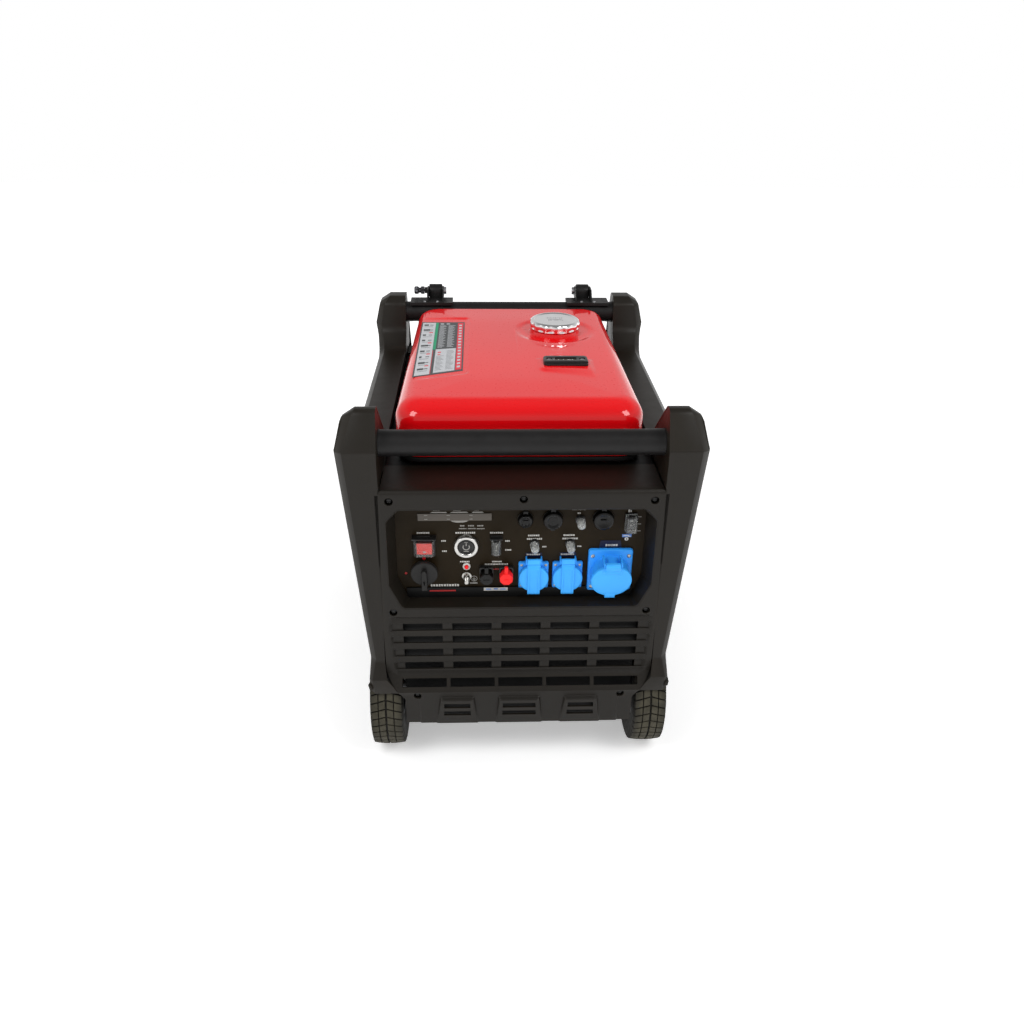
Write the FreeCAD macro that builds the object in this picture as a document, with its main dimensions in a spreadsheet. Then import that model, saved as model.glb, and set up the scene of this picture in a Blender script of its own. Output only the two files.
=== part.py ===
"""Inverter generator on two wheels: roll-cage side frames, red fuel tank, recessed socket panel.

Millimetres, +Z up, the control panel faces -Y. The origin is on the floor under the middle of the object.
Every sub-part is an object of one parametric document, and its sizes follow the "dims" spreadsheet.
"""
import FreeCAD, Part
import os
import Sketcher
from FreeCAD import Placement, Rotation, Vector

doc = FreeCAD.newDocument("inverter_generator")
sheet = doc.addObject("Spreadsheet::Sheet", "dims")

DIMENSIONS = {
    # Outer envelope
    "half_width": 284, "front_face": -350, "rear_face": 375, "post_top": 670, "cage_bottom": 100,
    "wall": 4, "fit_gap": 0.5, "run_gap": 0.05,
    # Side frames
    "seam_x": 228.5, "skirt_x": 197, "post_inner": 220, "rail_top": 565, "knee_z": 612,
    "fender_face": -365, "arch_radius": 112, "vent_long": 150, "vent_tall": 9, "vent_pitch": 24,
    # Front and rear fascia
    "fascia_top": 548, "fascia_rear": 340, "shelf_end": -256, "rear_shelf_end": 292, "skirt_face": -368,
    "opening_low": 332, "opening_high": 513, "opening_half": 213, "opening_short_half": 193,
    "opening_corner_low": 375, "opening_corner_high": 493, "recess_back": -315, "recess_wall": 3,
    "slot_long": 65, "slot_tall": 12.5, "slot_column": 81, "slot_row": 28, "slot_first": 295.5,
    "skirt_slot_tall": 8, "screw_head": 5, "screw_hole": 5.5, "tail_hole": 25,
    # Crossbars
    "bar_radius": 21.5, "bar_bore": 19, "front_bar_y": -305, "front_bar_z": 609,
    "rear_bar_y": 322, "rear_bar_z": 630,
    # Base, axles, wheels and feet
    "tray_half": 190, "tray_front": -340, "tray_rear": 334, "tray_low": 96, "tray_skin": 3, "tray_lip": 28,
    "axle_y": -270, "axle_radius": 8, "wheel_radius": 105, "tyre_inner": 202, "tyre_outer": 259,
    "rim_radius": 58, "hub_radius": 24, "hub_inner": 208, "hub_outer": 250,
    "foot_y": 290, "foot_x": 150, "foot_radius": 26, "foot_tall": 34,
    # Pull handle
    "pivot_y": 359, "pivot_z": 665, "arm_x": 158, "arm_half": 14, "arm_skin": 2.5, "arm_long": 400,
    "pivot_radius": 5, "cheek": 3, "loop_radius": 11, "grip_radius": 15.5, "grip_half": 125, "lock_dy": -8.5,
    "lock_dz": 3, "lock_radius": 3, "saddle_in": 121, "saddle_out": 210,
    # Fuel tank, cap and gauge
    "tank_front": -252, "tank_rear": 297, "tank_front_half": 203, "tank_rear_half": 193, "tank_low": 549,
    "tank_top": 650, "tank_skin": 3, "tank_corner": 38, "tank_crown": 26,
    "cap_x": 81.5, "cap_y": 130, "neck_radius": 38, "neck_bore": 33, "neck_top": 663,
    "cap_radius": 49, "cap_low": 656, "cap_top": 673, "gauge_x": 86, "gauge_y": -66,
    "gauge_long": 80, "gauge_wide": 38, "gauge_tall": 10,
    # Control panel and what it carries
    "panel_half": 216, "panel_low": 330, "panel_high": 516, "panel_skin": 3,
    "display_x": -106, "display_z": 484, "display_long": 118, "display_tall": 13,
    "main_x": -156, "switch_z": 431, "main_half": 17.5, "start_x": -88.3, "start_radius": 21,
    "start_button": 15, "idle_x": -39.6, "reset_z": 390.5, "reset_radius": 6.5,
    "knob_x": -157, "knob_z": 387, "knob_radius": 22, "ground_z": 371,
    "parallel_black_x": -55.6, "parallel_red_x": -23.2, "parallel_z": 380,
    "breaker_left_x": 22.5, "breaker_right_x": 80.5, "breaker_z": 434, "breaker_radius": 8,
    "dc_breaker_x": 95.5, "dc_breaker_z": 478, "mode_x": 177, "mode_z": 476,
    "usb_x": 7, "usb_radius": 12.5, "remote_x": 51, "remote_radius": 16,
    "charge_x": 132, "charge_radius": 17, "outlet_z": 480,
    "ac_left_x": 22, "ac_right_x": 78, "ac_z": 375, "ac_flange_half": 25, "ac_bore": 19.5,
    "ac_lid": 24.5, "cee_x": 148, "cee_z": 384.5, "cee_flange_half": 37, "cee_collar": 31, "cee_bore": 24,
    "cee_lid": 33.5, "cee_tilt": 13,
    # Engine, alternator and what is round them
    "crank_z": 222, "crank_radius": 20, "rotor_radius": 62, "stator_bore": 63, "stator_radius": 92,
}
for row, (word, number) in enumerate(DIMENSIONS.items(), 1):
    sheet.set(f"A{row}", word)
    sheet.set(f"B{row}", str(number))
    sheet.setAlias(f"B{row}", word)
doc.recompute()


class Size:
    """A number together with the spreadsheet expression that gives it."""

    def __init__(self, value, text):
        self.value = float(value)
        self.text = text

    def join(self, other, sign, value, flipped=False):
        other_text = other.text if isinstance(other, Size) else f"({other})"
        pair = (other_text, self.text) if flipped else (self.text, other_text)
        return Size(value, f"({pair[0]} {sign} {pair[1]})")

    def __add__(self, other):
        return self.join(other, "+", self.value + plain(other))

    def __radd__(self, other):
        return self.join(other, "+", plain(other) + self.value, True)

    def __sub__(self, other):
        return self.join(other, "-", self.value - plain(other))

    def __rsub__(self, other):
        return self.join(other, "-", plain(other) - self.value, True)

    def __mul__(self, other):
        return self.join(other, "*", self.value * plain(other))

    def __rmul__(self, other):
        return self.join(other, "*", plain(other) * self.value, True)

    def __truediv__(self, other):
        return self.join(other, "/", self.value / plain(other))

    def __neg__(self):
        return Size(-self.value, f"(0 - {self.text})")


class Dims:
    """Every cell of the sheet as an attribute, such as d.wall."""

    def __getattr__(self, word):
        return Size(DIMENSIONS[word], f"dims.{word}")


def plain(value):
    """The bare number of a Size or of a number."""
    return value.value if isinstance(value, Size) else float(value)


def bind(item, prop, value):
    """Ties one property of a document object to its expression."""
    item.setExpression(prop, value.text if isinstance(value, Size) else f"{value}")


def place(item, corner, turn=Rotation()):
    """Moves an object, with each coordinate tied to the sheet."""
    item.Placement = Placement(Vector(*[plain(value) for value in corner]), turn)
    for axis, value in zip("xyz", corner):
        bind(item, f"Placement.Base.{axis}", value)
    return item


d = Dims()
ALONG = {"X": Rotation(Vector(0, 1, 0), 90), "Y": Rotation(Vector(1, 0, 0), -90), "Z": Rotation()}


def scratch(kind, name):
    """A document object that other objects are made from."""
    return doc.addObject(kind, name)


def box(name, x, y, z):
    """A block between two limits on each axis."""
    item = scratch("Part::Box", name)
    for prop, (low, high) in (("Length", x), ("Width", y), ("Height", z)):
        bind(item, prop, high - low)
    return place(item, (x[0], y[0], z[0]))


def rod(name, axis, start, radius, length):
    """A round bar that runs from the point start, along +axis."""
    item = scratch("Part::Cylinder", name)
    bind(item, "Radius", radius)
    bind(item, "Height", length)
    return place(item, start, ALONG[axis])


def origin_part(body, role):
    """One of a body's own origin planes or axes."""
    return [part for part in body.Origin.OriginFeatures if part.Role == role][0]


def outline_sketch(body, name, plane, points, lift):
    """A closed outline on one of a body's own planes, every corner tied to the sheet."""
    sketch = body.newObject("Sketcher::SketchObject", name)
    sketch.AttachmentSupport = [(origin_part(body, plane), "")]
    sketch.MapMode = "FlatFace"
    bind(sketch, "AttachmentOffset.Base.z", lift)
    corners = [Vector(plain(u), plain(v), 0) for u, v in points]
    for index, corner in enumerate(corners):
        sketch.addGeometry(Part.LineSegment(corner, corners[(index + 1) % len(corners)]), False)
    for index in range(len(corners)):
        sketch.addConstraint(Sketcher.Constraint("Coincident", index, 2, (index + 1) % len(corners), 1))
    for index, pair in enumerate(points):
        for kind, value in zip(("DistanceX", "DistanceY"), pair):
            rule = sketch.addConstraint(Sketcher.Constraint(kind, -1, 1, index, 1, plain(value)))
            bind(sketch, f"Constraints[{rule}]", value)
    return sketch


def prism(name, plane, points, low, high):
    """A body with one pad: an outline in the YZ, XZ or XY plane, drawn out from low to high."""
    body = scratch("PartDesign::Body", name)
    lift = -high if plane == "XZ" else low
    sketch = outline_sketch(body, f"{name}_outline", f"{plane}_Plane", points, lift)
    pad = body.newObject("PartDesign::Pad", f"{name}_pad")
    pad.Profile = sketch
    bind(pad, "Length", high - low)
    doc.recompute()
    return body


def turned(name, axis, centre, points):
    """A body of revolution: points are (radius, distance along the axis)."""
    body = scratch("PartDesign::Body", name)
    sketch = outline_sketch(body, f"{name}_outline", "XZ_Plane", points, 0)
    spin = body.newObject("PartDesign::Revolution", f"{name}_turn")
    spin.Profile = sketch
    spin.ReferenceAxis = (origin_part(body, "Z_Axis"), [""])
    spin.Angle = 360
    place(body, centre, ALONG[axis])
    doc.recompute()
    return body


def soften(body, radius, pick):
    """Rounds the edges of a body's solid that pick accepts."""
    base = body.Tip
    edges = [f"Edge{number}" for number, edge in enumerate(base.Shape.Edges, 1) if pick(edge)]
    fillet = body.newObject("PartDesign::Fillet", f"{body.Name}_round{len(body.Group)}")
    fillet.Base = (base, edges)
    bind(fillet, "Radius", radius)
    body.Tip = fillet
    doc.recompute()
    return body


def fuse(name, *pieces):
    """Several solids joined into one, or kept as a group where they don't touch."""
    item = scratch("Part::MultiFuse", name)
    item.Shapes = list(pieces)
    return item


def cut(name, base, *tools):
    """A solid with others taken out of it."""
    item = scratch("Part::Cut", name)
    item.Base = base
    item.Tool = tools[0] if len(tools) == 1 else fuse(f"{name}_tools", *tools)
    return item


def common(name, first, second):
    """What two solids share."""
    item = scratch("Part::MultiCommon", name)
    item.Shapes = [first, second]
    return item


def mirrored(name, source):
    """The same piece on the other side of the middle plane."""
    item = scratch("Part::Mirroring", name)
    item.Source = source
    item.Normal = (1, 0, 0)
    return item


def tube(name, axis, start, radius, bore, length):
    """A round bar with a round bore."""
    return cut(name, rod(f"{name}_bar", axis, start, radius, length),
               rod(f"{name}_bore", axis, start, bore, length))


def is_along(edge, axis):
    """True for a straight edge that runs along one axis."""
    if edge.Curve.TypeId != "Part::GeomLine":
        return False
    return abs(edge.Curve.Direction.dot(axis)) > 0.999


parts = {}


def keep(name, item):
    """Names a finished sub-part, which is written to a file of that name."""
    item.Label = name
    parts[name] = item
    return item


# ---------------------------------------------------------------- side frames

def cage_side(inset):
    """The side view of a cage side: two leaning posts with the rail between them."""
    front, rear = d.front_face + inset, d.rear_face - inset
    top, rail, low = d.post_top - inset, d.rail_top - inset, d.cage_bottom + inset
    return [(d.fender_face + inset, low), (d.fender_face + inset, 193), (front, 223), (front, d.knee_z),
            (front + 27, top), (front + 45, top), (-228 - inset, 600), (-200 - inset, rail),
            (260 + inset, rail), (295 + inset, 600), (300 + inset, 655), (312 + inset, top),
            (rear - 25, top), (rear, d.knee_z), (rear, 130), (rear - 15, low)]


def cage_section(inset, inner):
    """The front view of a cage side: it leans out to the knee, and has a fender bead low down."""
    outer = d.half_width - inset
    return inner + [(outer - 29, d.cage_bottom + inset), (outer - 29, 157), (outer - 24, 169),
                    (outer - 28, 192), (outer - 31, 226), (outer - 14.5, 472), (outer - 5, 580),
                    (outer, d.knee_z), (outer - 8, 643), (outer - 26, d.post_top - inset)]


def side_frame():
    """The right side of the cage: a moulded shell, open to the inside, with a wheel arch."""
    skin_inner = [(d.post_inner, d.post_top), (d.post_inner, d.fascia_top + 1),
                  (d.seam_x, d.fascia_top + 1), (d.seam_x, 201), (d.seam_x - 7, 183.5),
                  (d.skirt_x + 2, 152), (d.skirt_x + 2, d.cage_bottom)]
    hollow_inner = [(d.post_inner + d.wall, d.post_top - d.wall), (d.post_inner + d.wall, 540),
                    (180, 540), (180, d.cage_bottom + d.wall)]
    skin = common("frame_skin", prism("frame_side", "YZ", cage_side(0), 180, 300),
                  prism("frame_front", "XZ", cage_section(0, skin_inner), d.fender_face - 5, d.rear_face + 5))
    hollow = common("frame_hollow", prism("frame_side_in", "YZ", cage_side(d.wall), 180, 300),
                    prism("frame_front_in", "XZ", cage_section(d.wall, hollow_inner),
                          d.fender_face - 5, d.rear_face + 5))
    well = rod("frame_well", "X", (180, d.axle_y, d.wheel_radius), d.arch_radius + d.wall, 120)
    arch = rod("frame_arch", "X", (180, d.axle_y, d.wheel_radius), d.arch_radius, 120)
    vents = []
    for bank in (-95, 95):
        for step in range(6):
            low = 300 + d.vent_pitch * step
            vents.append(box(f"vent_{bank + 100}_{step}", (240, 300),
                             (bank - d.vent_long / 2, bank + d.vent_long / 2), (low, low + d.vent_tall)))
    return cut("frame_right", skin, cut("frame_room", hollow, well), arch, *vents)


right_frame = keep("right_side_frame", side_frame())
keep("left_side_frame", mirrored("frame_left", right_frame))

# ---------------------------------------------------------------- front and rear fascia


def lower_corner(name, side):
    """The slanted waste beside the wheel, below where the fascia narrows."""
    points = [(side * (d.seam_x - 1), 201), (side * (d.seam_x - 8), 183.5), (side * (d.skirt_x - 1), 152),
              (side * (d.skirt_x - 1), d.cage_bottom - 5), (side * 240, d.cage_bottom - 5), (side * 240, 201)]
    return prism(name, "XZ", points, d.front_face - 40, d.rear_face + 10)


def opening_outline(grow):
    """The eight-sided opening round the control panel, grown by a wall's thickness."""
    right = [(d.opening_short_half, d.opening_high + grow),
             (d.opening_half - 1 + grow, d.opening_corner_high + grow / 2),
             (d.opening_half + grow, d.opening_corner_low - grow / 2),
             (d.opening_short_half, d.opening_low - grow)]
    return right + [(-x, z) for x, z in reversed(right)]


SCREWS = [(205.5, 530), (-205.5, 530), (2, 533), (209, 323), (-209, 323)]
SKIRT_SCREWS = [(175, 160), (-175, 160)]


def front_fascia():
    """One moulding: top shelf, socket recess, louvres and the skirt between the wheels."""
    face, inner, skirt = d.front_face, d.front_face + d.wall, d.skirt_face
    top, half = d.fascia_top, d.seam_x - 1
    sheet_outline = [(d.shelf_end, top), (face, top), (face, 200), (skirt, 170), (skirt, d.cage_bottom),
                     (skirt + d.wall, d.cage_bottom), (skirt + d.wall, 171.5), (inner, 201.5),
                     (inner, top - d.wall), (d.shelf_end, top - d.wall)]
    moulding = prism("fascia_sheet", "YZ", sheet_outline, -half, half)
    collar = prism("fascia_collar", "XZ", opening_outline(d.recess_wall), inner, d.recess_back)
    hole = prism("fascia_hole", "XZ", opening_outline(0), face - 5, d.recess_back + 5)
    waste = [lower_corner("fascia_corner_right", 1), lower_corner("fascia_corner_left", -1)]
    reach = d.post_inner - d.fit_gap
    for side, low, high in (("right", reach, 240), ("left", -240, -reach)):
        waste.append(box(f"fascia_shelf_{side}", (low, high), (inner, -200), (top - 10, top + 10)))
    for column in range(-2, 3):
        middle = d.slot_column * column
        across = (middle - d.slot_long / 2, middle + d.slot_long / 2)
        for line in range(4):
            low = d.slot_first - d.slot_row * line - d.slot_tall / 2
            waste.append(box(f"louvre_{column + 2}_{line}", across, (face - 2, inner + 2),
                             (low, low + d.slot_tall)))
        waste.append(box(f"louvre_{column + 2}_low", across, (skirt - 2, inner + 2), (169, 183)))
    for number, middle in enumerate((-107, 0, 106)):
        for line, low in enumerate((116.5, 133)):
            waste.append(box(f"skirt_slot_{number}_{line}", (middle - 25, middle + 25),
                             (skirt - 2, skirt + d.wall + 2), (low, low + d.skirt_slot_tall)))
    for number, (x, z) in enumerate(SCREWS):
        waste.append(rod(f"fascia_screw_hole_{number}", "Y", (x, face - 5, z), d.screw_hole, 20))
    for number, (x, z) in enumerate(SKIRT_SCREWS):
        waste.append(rod(f"skirt_screw_hole_{number}", "Y", (x, skirt - 5, z), d.screw_hole, 20))
    return cut("fascia_front", fuse("fascia_body", moulding, collar), hole, *waste)


def rear_fascia():
    """The back cover, with outlet louvres and a hole for the tail pipe."""
    face, top, half = d.fascia_rear, d.fascia_top, d.seam_x - 1
    inner = face - d.wall
    sheet_outline = [(d.rear_shelf_end, top - d.wall), (inner, top - d.wall), (inner, d.cage_bottom),
                     (face, d.cage_bottom), (face, top), (d.rear_shelf_end, top)]
    moulding = prism("rear_sheet", "YZ", sheet_outline, -half, half)
    waste = [lower_corner("rear_corner_right", 1), lower_corner("rear_corner_left", -1)]
    reach = d.post_inner - d.fit_gap
    for side, low, high in (("right", reach, 240), ("left", -240, -reach)):
        waste.append(box(f"rear_shelf_{side}", (low, high), (200, inner), (top - 10, top + 10)))
    for line in range(8):
        low = 300 + d.vent_pitch * line
        waste.append(box(f"rear_louvre_{line}", (-90, 90), (inner - 2, face + 2), (low, low + d.vent_tall)))
    waste.append(rod("tail_hole", "Y", (-110, inner - 2, 200), d.tail_hole, 10))
    return cut("fascia_back", moulding, *waste)


keep("front_fascia", front_fascia())
keep("rear_fascia", rear_fascia())


def screw(name, x, y, z):
    """A pan-head screw seen from the front, its head just below the surface."""
    return turned(name, "Y", (x, y, z), [(0, 1), (4, 1), (d.screw_head, 2), (d.screw_head, 4), (2.5, 4),
                                         (2.5, 14), (0, 14)])


screws = [screw(f"screw_{n}", x, d.front_face, z) for n, (x, z) in enumerate(SCREWS)]
screws += [screw(f"skirt_screw_{n}", x, d.skirt_face, z) for n, (x, z) in enumerate(SKIRT_SCREWS)]
keep("fascia_screws", fuse("screw_set", *screws))

# ---------------------------------------------------------------- crossbars

bar_span = 2 * d.post_inner
keep("front_crossbar", tube("bar_front", "X", (-d.post_inner, d.front_bar_y, d.front_bar_z),
                            d.bar_radius, d.bar_bore, bar_span))
keep("rear_crossbar", tube("bar_rear", "X", (-d.post_inner, d.rear_bar_y, d.rear_bar_z),
                           d.bar_radius, d.bar_bore, bar_span))

# ---------------------------------------------------------------- base, feet, axles and wheels


def base_tray():
    """A pressed steel tray with a lip all round, leg plates for the feet and holes for the axles."""
    low, across, along = d.tray_low, (-d.tray_half, d.tray_half), (d.tray_front, d.tray_rear)
    skin = d.tray_skin
    block = box("tray_block", across, along, (low, low + d.tray_lip))
    room = box("tray_room", (across[0] + skin, across[1] - skin), (along[0] + skin, along[1] - skin),
               (low + skin, low + 60))
    legs = [box(f"tray_leg_{side}", (side * d.foot_x - 18, side * d.foot_x + 18),
                (d.foot_y - 18, d.foot_y + 18), (d.foot_tall, low + 1)) for side in (-1, 1)]
    holes = [rod(f"tray_hole_{side}", "X", (side * d.tray_half - 10, d.axle_y, d.wheel_radius),
                 d.axle_radius + d.run_gap, 20) for side in (-1, 1)]
    return cut("tray", fuse("tray_solid", cut("tray_pan", block, room), *legs), *holes)


def axle():
    """A stub axle bolted to the right side of the tray, with a shoulder and an end nut."""
    shoulder = 14
    lip = d.tray_half + 0.1
    run = [(0, lip - 3), (d.axle_radius, lip - 3), (d.axle_radius, lip), (shoulder, lip), (shoulder, 205),
           (d.axle_radius, 205), (d.axle_radius, 250.5), (12, 250.5), (12, 256), (0, 256)]
    return turned("axle_right", "X", (0, d.axle_y, d.wheel_radius), run)


def tyre():
    """A solid rubber tyre with a rounded tread, seated on the rim."""
    inner, outer, rim, tread = d.tyre_inner, d.tyre_outer, d.rim_radius, d.wheel_radius
    run = [(rim, inner + 6), (tread - 25, inner), (tread - 12, inner + 1), (tread - 3, inner + 10),
           (tread, inner + 20), (tread, outer - 20), (tread - 3, outer - 10), (tread - 12, outer - 1),
           (tread - 25, outer), (rim, outer - 6)]
    return turned("tyre_right", "X", (0, d.axle_y, d.wheel_radius), run)


def hub():
    """A dished wheel centre: hub tube, web and the rim that the tyre sits on."""
    inner, outer, rim = d.hub_inner, d.hub_outer, d.rim_radius - d.run_gap
    bore, boss, web = d.axle_radius + d.run_gap, d.hub_radius, (d.hub_inner + d.hub_outer) / 2
    run = [(bore, inner), (boss, inner), (boss, web - 3), (rim - 5, web - 3), (rim - 5, inner),
           (rim, inner), (rim, outer), (rim - 5, outer), (rim - 5, web + 3), (boss, web + 3),
           (boss, outer), (bore, outer)]
    return turned("hub_right", "X", (0, d.axle_y, d.wheel_radius), run)


keep("base_tray", base_tray())
axle_right = axle()
keep("wheel_axles", fuse("axle_set", axle_right, mirrored("axle_left", axle_right)))
keep("left_tyre", mirrored("tyre_left", keep("right_tyre", tyre())))
keep("left_hub", mirrored("hub_left", keep("right_hub", hub())))
feet = [turned(f"foot_{side}", "Z", (side * d.foot_x, d.foot_y, 0),
               [(0, 0), (d.foot_radius - 3, 0), (d.foot_radius, 4), (d.foot_radius - 5, d.foot_tall),
                (0, d.foot_tall)]) for side in (-1, 1)]
keep("rear_feet", fuse("foot_set", *feet))

# ---------------------------------------------------------------- pull handle and its brackets


def bracket(side):
    """A saddle plate on the rear crossbar with a channel that holds one handle arm."""
    name = "left" if side < 0 else "right"
    saddle_top = d.rear_bar_z + d.bar_radius + 3
    reach = d.arm_half + d.fit_gap
    ends = sorted([side * d.saddle_in, side * d.saddle_out], key=plain)
    block = box(f"saddle_{name}", (ends[0], ends[1]), (d.rear_bar_y - 20, d.rear_bar_y + 21.5),
                (saddle_top - 6, saddle_top))
    solids = [block]
    holes = [rod(f"saddle_seat_{name}", "X", (ends[0], d.rear_bar_y, d.rear_bar_z), d.bar_radius,
                 ends[1] - ends[0])]
    for hand in (-1, 1):
        face = side * d.arm_x + hand * reach
        rim = side * d.arm_x + hand * (reach + d.cheek)
        low, high = sorted([face, rim], key=plain)
        outline = [(d.rear_bar_y - 14, saddle_top - 1), (d.pivot_y, saddle_top - 1),
                   (d.pivot_y + 10, d.pivot_z - 6), (d.pivot_y + 10, d.pivot_z + 4),
                   (d.pivot_y, d.pivot_z + 10), (d.rear_bar_y + 8, d.pivot_z + 10)]
        solids.append(prism(f"cheek_{name}_{hand + 1}", "YZ", outline, low, high))
        holes.append(rod(f"cheek_bore_{name}_{hand + 1}", "X", (low - 1, d.pivot_y, d.pivot_z),
                         d.pivot_radius + d.run_gap, d.cheek + 2))
    if side < 0:
        outer = -d.arm_x - reach - d.cheek
        lock_y, lock_z = d.pivot_y + d.lock_dy, d.pivot_z + d.lock_dz
        solids.append(rod("lock_barrel", "X", (outer - 6, lock_y, lock_z), 6.5, 6.5))
        holes.append(rod("lock_bore", "X", (outer - 8, lock_y, lock_z), d.lock_radius + d.run_gap, 20))
        holes.append(rod("lock_pivot_bore", "X", (outer - 8, d.pivot_y, d.pivot_z),
                         d.pivot_radius + d.run_gap, 20))
    return cut(f"bracket_{name}", fuse(f"bracket_{name}_solid", *solids), *holes)


def pivot_bolt(side):
    """A shoulder bolt with its head on the side that faces the middle."""
    inner = d.arm_x - d.arm_half - d.fit_gap - d.cheek
    grip = 2 * (d.arm_half + d.fit_gap + d.cheek) - 0.5
    bolt = turned(f"pivot_{side + 1}", "X", (side * inner, d.pivot_y, d.pivot_z),
                  [(0, -side * 5), (8, -side * 5), (8, -side * 0.1), (d.pivot_radius, -side * 0.1),
                   (d.pivot_radius, side * grip), (0, side * grip)])
    return bolt


def handle_arm(side):
    """One arm of square tube, rounded at its pivot end and open at the other."""
    across = (side * d.arm_x - d.arm_half, side * d.arm_x + d.arm_half)
    along = (d.pivot_y - d.arm_half, d.pivot_y + d.arm_half)
    end = d.pivot_z - d.arm_long
    skin = d.arm_skin
    stem = box(f"arm_{side + 1}", across, along, (end - d.arm_half, d.pivot_z))
    room = box(f"arm_room_{side + 1}", (across[0] + skin, across[1] - skin),
               (along[0] + skin, along[1] - skin), (end - 30, d.pivot_z - 18))
    knuckle = rod(f"knuckle_{side + 1}", "X", (across[0], d.pivot_y, d.pivot_z), d.arm_half, 2 * d.arm_half)
    return cut(f"arm_solid_{side + 1}", fuse(f"arm_blank_{side + 1}", stem, knuckle), room)


def handle_frame():
    """Both arms and the round bar that joins them, with the pivot bores and the lock's seat."""
    end = d.pivot_z - d.arm_long
    reach = d.arm_x - d.arm_half
    loop_bar = rod("loop_bar", "X", (-reach, d.pivot_y, end), d.loop_radius, 2 * reach)
    solid = fuse("handle_solid", handle_arm(-1), handle_arm(1), loop_bar)
    bores = [rod(f"arm_bore_{side + 1}", "X", (side * d.arm_x - 20, d.pivot_y, d.pivot_z),
                 d.pivot_radius + d.run_gap, 40) for side in (-1, 1)]
    seat = rod("lock_seat", "X", (-d.arm_x - d.arm_half - 1, d.pivot_y + d.lock_dz, d.pivot_z - d.lock_dy),
               d.lock_radius + 0.2, 7)
    return cut("handle", solid, *bores, seat)


def lock_plunger():
    """The spring plunger's pin and pull knob."""
    outer = -d.arm_x - d.arm_half - d.fit_gap - d.cheek
    start = (outer - 28, d.pivot_y + d.lock_dy, d.pivot_z + d.lock_dz)
    return turned("plunger", "X", start,
                  [(0, 0), (6.5, 0), (8, 2), (8, 8), (5.5, 10), (5.5, 13), (8, 15), (8, 21.5),
                   (d.lock_radius, 21.5), (d.lock_radius, 31.4), (0, 31.4)])


keep("handle_brackets", fuse("bracket_set", bracket(-1), bracket(1)))
keep("handle_pivot_bolts", fuse("pivot_set", pivot_bolt(-1), pivot_bolt(1)))
keep("handle_frame", handle_frame())
keep("handle_grip", tube("grip", "X", (-d.grip_half, d.pivot_y, d.pivot_z - d.arm_long), d.grip_radius,
                         d.loop_radius + d.run_gap, 2 * d.grip_half))
keep("lock_plunger", lock_plunger())

# ---------------------------------------------------------------- fuel tank, cap and gauge


def fuel_tank():
    """A pressed tank with round corners, a filler neck and a port for the gauge."""
    front, rear, low, top, skin = d.tank_front, d.tank_rear, d.tank_low, d.tank_top, d.tank_skin

    def plan(inset):
        return [(-d.tank_front_half + inset, front + inset), (d.tank_front_half - inset, front + inset),
                (d.tank_rear_half - inset, rear - inset), (-d.tank_rear_half + inset, rear - inset)]

    shell = prism("tank_shell", "XY", plan(0), low, top)
    soften(shell, d.tank_corner, lambda edge: is_along(edge, Vector(0, 0, 1)))
    soften(shell, d.tank_crown, lambda edge: edge.BoundBox.ZMin > plain(top) - 0.01)
    room = prism("tank_room", "XY", plan(skin * 8), low + skin, top - skin)
    soften(room, 20, lambda edge: is_along(edge, Vector(0, 0, 1)))
    neck = turned("tank_neck", "Z", (d.cap_x, d.cap_y, top - 1),
                  [(0, 0), (56, 0), (56, 3), (d.neck_radius, 6), (d.neck_radius, d.neck_top - top + 1),
                   (0, d.neck_top - top + 1)])
    bore = rod("tank_bore", "Z", (d.cap_x, d.cap_y, top - 10), d.neck_bore, 40)
    port = box("gauge_port", (d.gauge_x - 20, d.gauge_x + 20), (d.gauge_y - 9, d.gauge_y + 9),
               (top - 10, top + 5))
    return cut("tank", fuse("tank_solid", shell, neck), room, bore, port)


def cap_core():
    """The cap's fixed inner plug: a seal that sits on the neck and a spigot down its bore."""
    seat = d.neck_top + d.run_gap
    return turned("cap_plug", "Z", (d.cap_x, d.cap_y, 0),
                  [(0, seat - 12), (d.neck_bore - 2, seat - 12), (d.neck_bore - 2, seat),
                   (d.neck_radius + 2, seat), (d.neck_radius + 2, seat + 4), (0, seat + 4)])


def cap_shell():
    """The plated shell that is gripped and turned."""
    rim, low, high = d.cap_radius, d.cap_low, d.cap_top
    return turned("cap_cup", "Z", (d.cap_x, d.cap_y, 0),
                  [(0, high - 4.5), (rim - 5, high - 4.5), (rim - 5, low), (rim, low), (rim, high - 3),
                   (rim - 4, high), (0, high)])


def gauge_housing():
    """The fuel gauge: an oval housing on the tank with its neck down through the port."""
    length, width, top = d.gauge_long / 2, d.gauge_wide / 2, d.tank_top + d.run_gap
    left, right, front, rear = d.gauge_x - length, d.gauge_x + length, d.gauge_y - width, d.gauge_y + width
    corners = [(left, front), (right, front), (right, rear), (left, rear)]
    housing = prism("gauge_case", "XY", corners, top, top + d.gauge_tall)
    soften(housing, 8, lambda edge: is_along(edge, Vector(0, 0, 1)))
    stem = box("gauge_stem", (d.gauge_x - 18, d.gauge_x + 18), (d.gauge_y - 7, d.gauge_y + 7),
               (top - 20, top + 1))
    return fuse("gauge", housing, stem)


keep("fuel_tank", fuel_tank())
keep("fuel_cap_core", cap_core())
keep("fuel_cap_shell", cap_shell())
keep("gauge_housing", gauge_housing())

# ---------------------------------------------------------------- control panel

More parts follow.
